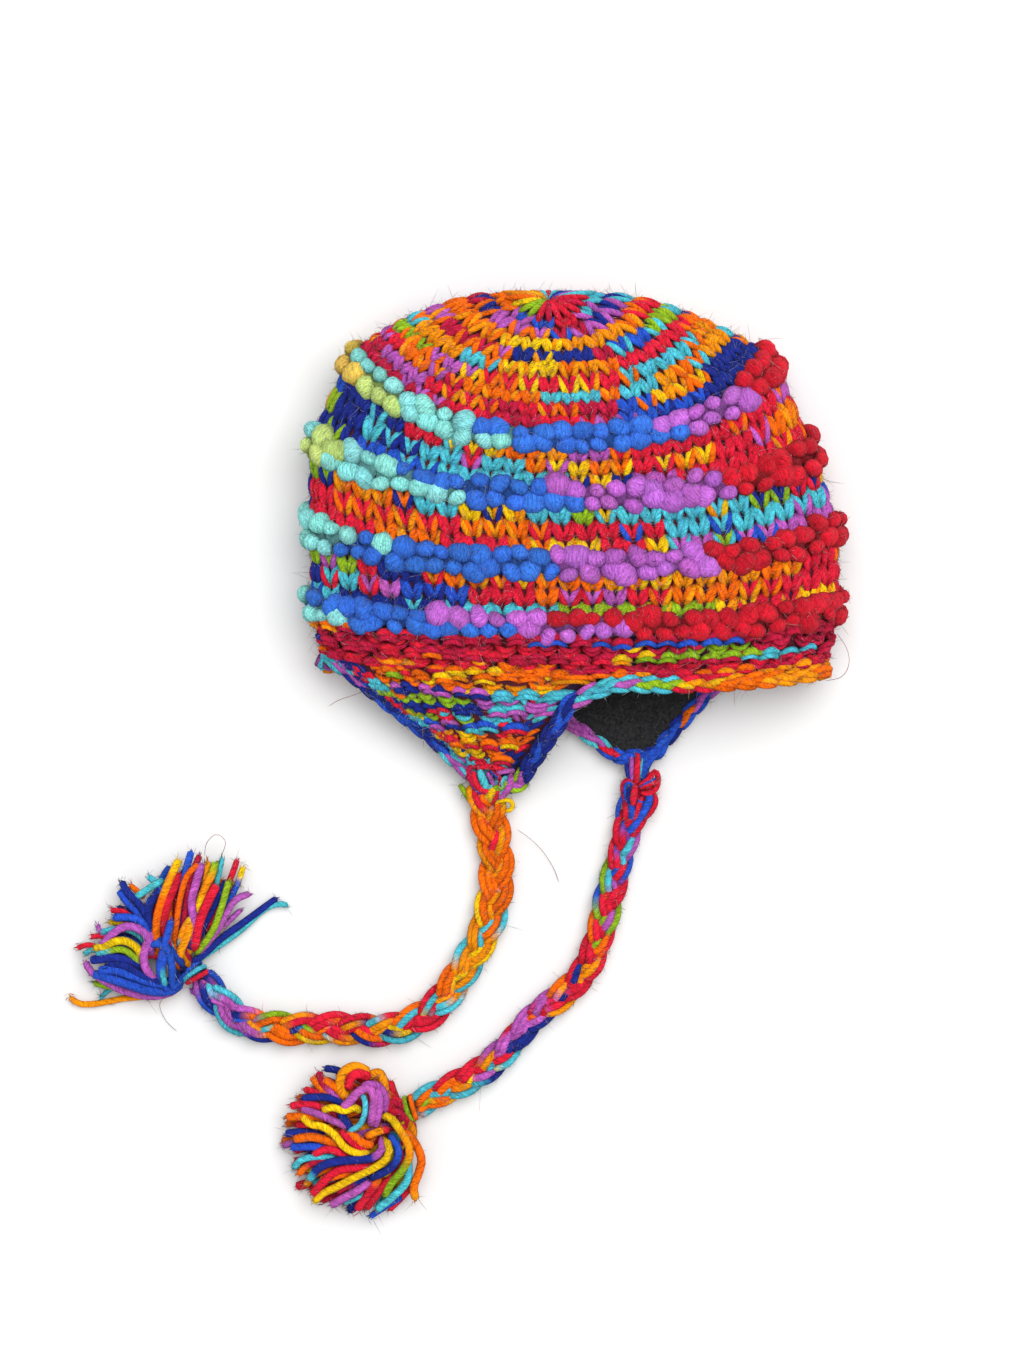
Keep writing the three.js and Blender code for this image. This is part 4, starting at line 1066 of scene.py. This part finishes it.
def gridPiece(name, columns, rows, place, thick, material):  # a grid primitive laid over a form, with a thickness
    bpy.ops.object.select_all(action="DESELECT")
    bpy.ops.mesh.primitive_grid_add(x_subdivisions=columns, y_subdivisions=rows, size=2)
    piece = bpy.context.object
    piece.name = name
    flatPlaces = np.zeros(len(piece.data.vertices) * 3)
    piece.data.vertices.foreach_get("co", flatPlaces)
    flatPlaces = flatPlaces.reshape(-1, 3)[:, :2] / 2 + 0.5
    places = place(flatPlaces[:, 0], flatPlaces[:, 1]) * mm
    piece.data.vertices.foreach_set("co", places.astype(np.float32).ravel())
    bpy.ops.object.mode_set(mode="EDIT")
    bpy.ops.mesh.select_all(action="SELECT")
    bpy.ops.mesh.remove_doubles(threshold=0.0002)
    bpy.ops.mesh.normals_make_consistent(inside=False)
    bpy.ops.object.mode_set(mode="OBJECT")
    solid = piece.modifiers.new("thickness", "SOLIDIFY")
    solid.thickness = thick * mm
    solid.offset = 0
    bpy.ops.object.modifier_apply(modifier=solid.name)
    bpy.ops.object.shade_smooth()
    piece.data.materials.append(material)
    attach(piece, "root")
    return piece


def flapWidth(flap, along):
    span = flapPoint(flap, bothEnds, along, 0)
    return np.linalg.norm(span[..., 1, :] - span[..., 0, :], axis=-1)


def sideStitches(flap, edge, dyes, inset=sideLook["inset"]):  # a column of stitches down one edge of a flap
    look = sideLook
    ends = flapPoint(flap, edge, bothEnds, 0)
    count = int(np.linalg.norm(ends[1] - ends[0]) / look["pitch"])
    at = (np.arange(count)[:, None] + 0.6) / count
    width = np.maximum(flapWidth(flap, at)[:, None], look["narrowest"])
    middle = inset[0] + (inset[1] - inset[0]) * at
    t, lean, climb = (np.linspace(*span, look["points"]) for span in ((0, 1), look["lean"], look["climb"]))
    sunk = legDepth(t, look["depth"], look["tuckLow"], look["tuckHigh"])
    bundles = []
    for leg in (-1, 1):
        for lane in (-1, 1):
            along = np.clip(at + (climb + 0.1 * lane) / count, 0, 1.02)
            off = (middle + leg * (lean + look["lane"] * lane)) / width
            paths, ups = onFlap(flap, off if edge == 0 else 1 - off, along, sunk - 0.3 * lane)
            radii = look["radius"] * swell(t, 0.1, 0.9, 0.55) * dice.uniform(0.88, 1.12, (count, 1))
            letters = [dyes[int(len(dyes) * (k + dice.random()) / count) % len(dyes)] for k in range(count)]
            bundles.append(tubes(paths, radii, ups, tinted(letters)[:, None] * endShade(len(t), 0.5)))
    return bundles


def flapSpread(flap, x, y, depth, extra):  # a flap's plate, carried a little way under the edging
    more = extra / flapWidth(flap, y[:, None])
    return flapPoint(flap, x * (1 + 2 * more) - more, y * (1 + extra / 60), depth)


# backing: the inside of the knitting, mixed in colour, its dyes darkened to about an eighth as painted shade for the
# gaps between stitches
def backingMaterial():
    material, tree, shader = newMaterial("knit_backing")
    # painted shade: the dyes at an eighth or so of their brightness
    mixed = colourRamp(tree, noise(tree, 70, Detail=2), (0.36, dyeTable["N"] * 0.14), (0.64, dyeTable["R"] * 0.12),
                       (0.5, dyeTable["C"] * 0.14))
    bump = newNode(tree, "Bump", Strength=0.8, Distance=0.001, Height=noise(tree, 500, Detail=3))
    setInputs(tree, shader, Base_Color=mixed, Normal=bump.outputs[0], Roughness=0.95)
    return material


backing = backingMaterial()
wallLook = {"depth": 6.3, "thick": 1.2, "rises": 0.3}  # it rises to half its depth close to the pole


def crownWall(x, y):
    step = np.minimum(y * form["pole"], form["pole"] - 0.02)
    depth = wallLook["depth"] * np.clip((form["pole"] - step) / wallLook["rises"], 0.5, 1)
    places, _ = onCrown(x, step, depth)
    atTop = y > 0.999
    places[atTop] = places[atTop].mean(0)
    return places


crownBack = gridPiece("crown_backing", 120, 60, crownWall, wallLook["thick"], backing)
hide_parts("crown")

# fleece lining: black pile with a few pale specks


def fleeceMaterial():
    material, tree, shader = newMaterial("black_fleece")
    coords = tree.nodes.new("ShaderNodeTexCoord")
    pile = noise(tree, 700, Detail=4, Roughness=0.7)
    specks = newNode(tree, "TexVoronoi", Vector=coords.outputs["Object"], Scale=520)
    pale = sums(tree, "LESS_THAN", specks.outputs["Distance"], 0.16)
    pale = sums(tree, "MULTIPLY", pale, sums(tree, "GREATER_THAN", pile, 0.55))
    blacks = colourRamp(tree, sums(tree, "MULTIPLY_ADD", pale, 0.5, pile), (0.3, (0.004, 0.004, 0.005)),
                        (1, (0.06, 0.058, 0.06)))
    bump = newNode(tree, "Bump", Strength=0.9, Distance=0.0012, Height=pile)
    setInputs(tree, shader, Base_Color=blacks, Normal=bump.outputs[0], Roughness=0.95, Sheen_Weight=0.04,
              Specular_IOR_Level=0.1)
    return material


fleece = fleeceMaterial()
liningLook = {"thick": 1.8, "reach": 1.7, "under": 3.4, "ripple": 0.5, "tuck": 2.2}


def ripple(x, y):
    return liningLook["ripple"] * (np.sin(x * 31 + 2 * np.sin(y * 9)) * np.sin(y * 23 + 1.3 * np.sin(x * 17)))


liningDepth = form["wall"] + form["gap"] + liningLook["thick"] / 2


def bandPlace(x, y):
    edge = np.sin(math.pi * y)
    return onCrown(x, 0.06 + y * (liningLook["reach"] - 0.06), liningDepth + edge * ripple(3 * x, y))[0]


liningBand = gridPiece("fleece_band", 160, 20, bandPlace, liningLook["thick"], fleece)
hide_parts("lining_band")
flapLook = {"stitch": 8.5, "slant": 1.3, "corner": 2.5, "backDepth": 5.2, "backThick": 2.6, "backUnder": 2.2}


def flapRow(flap, i, chart, pitch):
    at = (i + 0.55) * pitch
    width = flapWidth(flap, at)
    near = min((flap["near"][0] + flap["near"][1] * (1 - at) ** flapLook["slant"]) / width, 0.34 - 0.18 * at)
    far = 1 - min(flap["far"] / width, 0.2)
    if i < flap["runOn"]:  # the top rows run on into the corner
        far = 1 + flapLook["corner"] / width

    def place(share, rise, depth):
        return onFlap(flap, near + share * (far - near), np.clip(at - rise * pitch, 0, 1.02), depth)

    count = max(int(round(width * (far - near) / flapLook["stitch"])), 2)
    thirds = chart.split("|")
    letters, others = ([dice.choice(list(thirds[min(int(3 * (k + 0.5) / count), 2)])) for k in range(count)]
                       for _ in range(2))
    return garterRow(place, count, letters, others, i % 2 == 1, 0.5 + 0.22 * (-1) ** i)


def earFlap(side, flap):
    def backPlace(x, y):
        return flapSpread(flap, x, y, flapLook["backDepth"], flapLook["backUnder"])

    def liningPlace(x, y):
        inner = np.sin(math.pi * x) * np.sin(math.pi * y)
        rim = np.exp(-(np.minimum(np.minimum(x, 1 - x), 1 - y) / 0.09) ** 2)
        return flapSpread(flap, x, y, liningDepth + inner * ripple(x, y) - liningLook["tuck"] * rim,
                          liningLook["under"])

    back = gridPiece("flap_backing_" + side, 24, 16, backPlace, flapLook["backThick"], backing)
    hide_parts("ear_flap_" + side)
    lining = gridPiece("flap_fleece_" + side, 40, 30, liningPlace, liningLook["thick"], fleece)
    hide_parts("flap_lining_" + side)
    bundles, pitch = [], 0.97 / len(flap["rows"])
    for i, chart in enumerate(flap["rows"]):
        bundles += flapRow(flap, i, chart, pitch)
    for edge, dyes in zip((0, 1), flap["sides"]):
        bundles += sideStitches(flap, edge, dyes)
    for dyes, inset in flap["inner"]:
        bundles += sideStitches(flap, 0, dyes, inset)
    garter = strandPiece("flap_garter_" + side, bundles, yarnWool)
    return lining


linings = {"band": liningBand, **{side: earFlap(side, flap) for side, flap in flaps.items()}}

print("flaps and linings done")

# edging: a crocheted chain round the brim and both flaps

edgingLook = {"radius": 4.3, "gaps": {"brim": 0.5, "flap": 2, "tip": 2.3}, "link": 10.4, "strand": 1.8, "core": 2.4,
              "along": (0.262, 0.29, 0.49, 0.52, 0.65, 0.68, 0.7, 0.78, 0.825, 0.845),
              "size": (1, 0.92, 0.86, 1, 1, 0.78, 0.74, 0.7, 0.66, 1),
              "inward": (0, -2.6, -2.6, 0, 0, 2.5, 4, 5, 2.5, 0), "coreLengths": 24, "middle": (0, 20, 26),
              "turnsAbove": 8, "turnsBefore": -58, "spread": 3.2, "lane": 1.05, "closes": 1.5, "rise": 3.6}


def besideEdge(edge, inside, along, through, clearance):
    away = edge - inside
    for direction in (along, through):
        direction = unit(np.asarray(direction, float))
        away = away - direction * np.dot(away, direction)
    place = edge + unit(away) * (edgingLook["radius"] + clearance)
    place[2] = max(place[2], edgingLook["radius"] + form["gap"])
    return place


def brimPlace(degrees):
    half, angle = form["wall"] / 2, math.radians(degrees)
    along = wallPoint(angle + 0.05, 0, half) - wallPoint(angle - 0.05, 0, half)
    return besideEdge(wallPoint(angle, 0, half), wallPoint(angle, 0.3, half), along, formNormal(angle, 0),
                      edgingLook["gaps"]["brim"])


def sidePlace(flap, across, along):
    half = form["wall"] / 2
    edge = flapPoint(flap, across, along, half)
    tangent = flapPoint(flap, across, along + 0.05, half) - edge
    return besideEdge(edge, flapPoint(flap, 0.5, along, half), tangent,
                      flapPoint(flap, across, along, form["wall"]) - edge, edgingLook["gaps"]["flap"])


def tipPlace(flap, across):
    half = form["wall"] / 2
    return besideEdge(flapPoint(flap, across, 1, half), flapPoint(flap, 0.5, 0.8, half), (0, 0, 0),
                      flap["inward"], edgingLook["gaps"]["tip"])


def roundFlap(flap):
    down = (0.2, 0.37, 0.54, 0.71, 0.88)
    return ([sidePlace(flap, 0, along) for along in down] + [tipPlace(flap, across) for across in (0, 0.5, 1)]
            + [sidePlace(flap, 1, along) for along in down[::-1]])


edgingZones = [  # along the chain from the upper flap's right corner, round the right fold
    (0.01, "TVTV"), (0.038, "LTLL"), (0.078, "RYRR"), (0.2, "OOAO"), (0.25, "OORR"), (0.29, "VVBV"),
    (0.31, "OBBN"), (0.36, "BBNB"), (0.4, "BBR"), (0.5, "VTVT"), (0.54, "VBT"), (0.66, everyDye), (0.7, "VNTV"),
    (0.78, "NBBN"), (0.84, "TVTB"), (0.875, "VTLR"), (0.95, "NNNB"), (1, "TVTV")]


def edging():
    look = edgingLook
    upper, lower = flaps["upper"], flaps["lower"]
    points = ([brimPlace(d) for d in np.linspace(upper["to"] - 5, lower["from"] - 355, 19)] + roundFlap(lower)
              + [brimPlace(d) for d in np.linspace(lower["to"] - 5, upper["from"] + 5, 12)] + roundFlap(upper))
    line, length = smoothRoute(points, 1.0, closed=True)
    links = int(round(length / look["link"]))
    knots = np.linspace(0, length, len(line))

    def along(s):
        return readOff(np.mod(s, length), knots, line)

    def frameAt(s):
        ahead = unit(along(s + 2) - along(s - 2))
        here = along(s)
        raised, forward = (here[..., 2:] - look["turnsAbove"]) / 4, (look["turnsBefore"] - here[..., 1:2]) / 8
        seen = np.clip(np.maximum(raised, forward), 0, 1)  # the chain's face turns to the viewer there
        outside = seen * upward + (1 - seen) * (unit(here - look["middle"]) + 0.35 * upward)
        up = unit(outside - ahead * (outside * ahead).sum(-1, keepdims=True))
        size, inward = (np.interp(s / length, look["along"], look[name]) for name in ("size", "inward"))
        return here, np.cross(up, ahead), up, size, inward

    t = np.linspace(0, 1, 9)
    bundles = []
    start = np.arange(links) * length / links
    pairs = [dice.permutation(list(zoneAt(edgingZones, s / length)))[:2] for s in start]
    letters, others = ([pair[k] for pair in pairs] for k in (0, 1))
    for leg in (-1, 1):
        for lane, dyes in ((-1, letters), (1, others)):
            s = start[:, None] + look["link"] * (-0.15 + 1.4 * t - 0.1 * lane + 0.25 * leg)
            here, aside, up, size, inward = frameAt(s)
            swing = leg * (0.1 + look["spread"] * t ** 0.9 + look["lane"] * lane - look["closes"] * t ** 4)
            rise = size * (look["rise"] - 10 * (t - 0.45) ** 2 - 0.4 * lane)
            paths = here + aside * (size * swing + inward)[..., None] + up * rise[..., None]
            paths[..., 2] = np.maximum(paths[..., 2], look["strand"])
            radii = look["strand"] * size * swell(t, 0.1, 0.9, 0.6)
            tints = tinted(dyes, 0.16)[:, None] * endShade(len(t), 0.72)
            bundles.append(tubes(paths, radii, up, tints, sides=7, flat=0.9))
    cores = look["coreLengths"]  # the core behind the chain, in short lengths that overlap, in its link dyes at 0.35: painted shade that shows between the links
    s = np.linspace(0, length, cores, endpoint=False)[:, None] + np.linspace(-1, length / cores + 1, 18)
    here, aside, up, size, inward = frameAt(s)
    here = here - up * 0.9 + aside * inward[..., None]
    here[..., 2] = np.maximum(here[..., 2], look["core"])
    coreShadeTints = np.array([dyeTable[letters[int(v / length * links) % links]] for v in s[:, 9]]) * 0.35
    core = tubes(here, look["core"] * size, up, coreShadeTints, sides=8, flat=1)
    piece = strandPiece("edging_chain", bundles + [core], yarnWool)
    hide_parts("rim_edging")


edging()

# fuzz: loose fibres that stand off the wool, and a short nap between them

fuzzLook = {"thin": 0.1, "shortest": 1.8, "longest": 5.2, "longs": 1.4, "curl": 0.72, "lean": (0.12, 0.75),
            "pale": (0.2, 0.75), "dark": 0.12, "places": (0, 0.35, 0.75, 1), "taper": (1, 1, 0.75, 0.3)}
napLook = {"thin": 0.14, "shortest": 1.6, "longest": 4, "longs": 1, "curl": 0.12, "lean": (0.03, 0.4),
           "pale": (0.1, 0.6), "dark": 0.45, "places": (0, 0.45, 1), "taper": (1, 1, 0.3)}
strayLook = {"thin": 0.065, "shortest": 5, "longest": 11, "longs": 1.5, "curl": 0.65, "lean": (0.2, 0.8),
             "pale": (0.05, 0.4), "dark": 0.4, "places": (0, 0.15, 0.35, 0.55, 0.75, 0.9, 1),
             "taper": (1, 1, 1, 1, 1, 0.8, 0.3)}
longHairs = [  # single hairs that have come away, as dye, radius and places
    ("C", 0.14, [(-186, -157, 8), (-184.5, -150, 13), (-179.5, -145.5, 16), (-175, -149.5, 13), (-178, -158, 9)]),
    ("C", 0.14, [(-29, -143, 7), (-22, -148, 4), (-15.5, -154.5, 2), (-10, -163, 1), (-7, -171, 0.6)]),
    ("C", 0.14, [(-96, -69, 22), (-109, -75, 14), (-118, -78, 8), (-124, -81.5, 5)]),
    ("C", 0.15, [(131, -44, 24), (136.5, -52, 22), (138, -60, 18), (134.5, -66.5, 13), (126, -68.5, 10)]),
    ("CN", 0.12, [(-205, -226, 4), (-209, -232, 2), (-206, -240, 1), (-200, -246, 0.6)]),
]
fuzzCounts = {"crown_knit": 2900, "cap_knit": 2300, "crown_bobbles": 3500, "brim_garter": 1050,
              "flap_garter_upper": 800, "edging_chain": 700, "tie_braid_upper": 650, "tie_braid_lower": 550,
              "tie_knot_loops": 100, "flap_tip_yarns": 100, "yarn_tassel_upper": 650, "yarn_tassel_lower": 700}
napTimes = 1.9  # nap fibres for each long one
strayTimes = 0.004
highest = 70  # fibres on the crown stay below this
aslant = np.array((0.31, 0.47, 0.83))  # squares the fibres' rings, as hardly a fibre runs along it


def looseFibres(name, count, look):
    bundles = shedding[name]
    weights = np.array([bundle["verts"].shape[0] * bundle["verts"].shape[1] for bundle in bundles], float)
    picks = dice.choice(len(bundles), count * 3 + 60, p=weights / weights.sum())
    roots, outs, tints = [], [], []
    for index, bundle in enumerate(bundles):
        wanted = int((picks == index).sum())
        strand = dice.integers(0, bundle["verts"].shape[0], wanted)
        corner = dice.integers(0, bundle["verts"].shape[1], wanted)
        root = bundle["verts"][strand, corner]
        roots.append(root)
        outs.append(unit(root - bundle["middles"][strand, corner]))
        tints.append(bundle["tints"][strand, corner])
    roots, outs, tints = np.concatenate(roots), np.concatenate(outs), np.concatenate(tints)
    facing = dice.permutation(np.flatnonzero((outs[:, 2] > -0.15) & (roots[:, 2] > 2)))[:count]
    roots, outs, tints = roots[facing], outs[facing], tints[facing]
    total = len(roots)
    length = look["shortest"] + (look["longest"] - look["shortest"]) * dice.random(total) ** look["longs"]
    wild = dice.normal(0, 1, (total, 3))
    lean = unit(wild - outs * (wild * outs).sum(1, keepdims=True))  # along the wool, and a little off it
    lean = unit(lean + outs * dice.uniform(*look["lean"], (total, 1)))
    curl = dice.normal(0, 1, (total, 3)) * look["curl"]
    t = np.array(look["places"])
    paths = (roots[:, None] - outs[:, None] * 0.25 + lean[:, None] * (length[:, None] * t)[..., None]
             + curl[:, None] * (length[:, None] * t ** 2)[..., None])
    tall = np.maximum(paths[..., 2].max(1) - roots[:, 2], 0.01)
    shorter = np.clip((highest - roots[:, 2]) / tall, 0.1, 1)
    paths = roots[:, None] + (paths - roots[:, None]) * shorter[:, None, None]
    paths[..., 2] = np.maximum(paths[..., 2], 0.3)
    radii = look["thin"] * np.array(look["taper"]) * dice.uniform(0.7, 1.3, (total, 1))
    pale = dice.uniform(*look["pale"], (total, 1))
    tints = np.where(dice.random((total, 1)) < look["dark"], tints * dice.uniform(0.2, 0.6, (total, 1)),
                     tints * (1 - pale) + pale * 0.85)
    return tubes(paths, radii, aslant, tints, sides=3, flat=1, sideShade=0)


loose = [looseFibres(name, count, fuzzLook) for name, count in fuzzCounts.items()]
loose += [looseFibres(name, math.ceil(count * strayTimes), strayLook) for name, count in fuzzCounts.items()]
hairs, hairTints, hairRadii = laidPaths(longHairs, np.linspace(0, 1, 16))
loose.append(tubes(hairs, hairRadii * np.ones(16), aslant, hairTints * 0.7, sides=4, flat=1, sideShade=0))
nap = [looseFibres(name, int(count * napTimes), napLook) for name, count in fuzzCounts.items()]
for piece in (strandPiece("wool_fuzz", loose, yarnWool), strandPiece("wool_nap", nap, yarnWool)):
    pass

# stage

floorSet = {"size": 8, "under": -0.0003, "from": (0.73, 0.727, 0.725), "to": (0.75, 0.747, 0.745)}
bpy.ops.mesh.primitive_plane_add(size=floorSet["size"], location=(0, 0, floorSet["under"]))
floor = bpy.context.object
floor.name = "floor"
paper, paperTree, paperShader = newMaterial("pale_floor")
paperTones = colourRamp(paperTree, noise(paperTree, 1.5), (0, floorSet["from"]), (1, floorSet["to"]))
setInputs(paperTree, paperShader, Base_Color=paperTones, Roughness=0.9, Specular_IOR_Level=0.1)
floor.data.materials.append(paper)

lightSet = {"dome": 0.8, "key": 88, "keyAt": (0.6, 0.9, 2.7), "keySize": 2.8, "keyTurn": (-19, 13, 0)}
world = bpy.data.worlds.new("studio")
world.use_nodes = True
setInputs(world.node_tree, world.node_tree.nodes["Background"], Color=(1, 1, 1, 1), Strength=lightSet["dome"])
bpy.context.scene.world = world
bpy.ops.object.light_add(type="AREA", location=lightSet["keyAt"])
key = bpy.context.object
key.name = "key_light"
key.data.energy = lightSet["key"]
key.data.size = lightSet["keySize"]
key.rotation_euler = [math.radians(degrees) for degrees in lightSet["keyTurn"]]
bpy.context.scene.view_settings.view_transform = "Standard"
print("stage done")
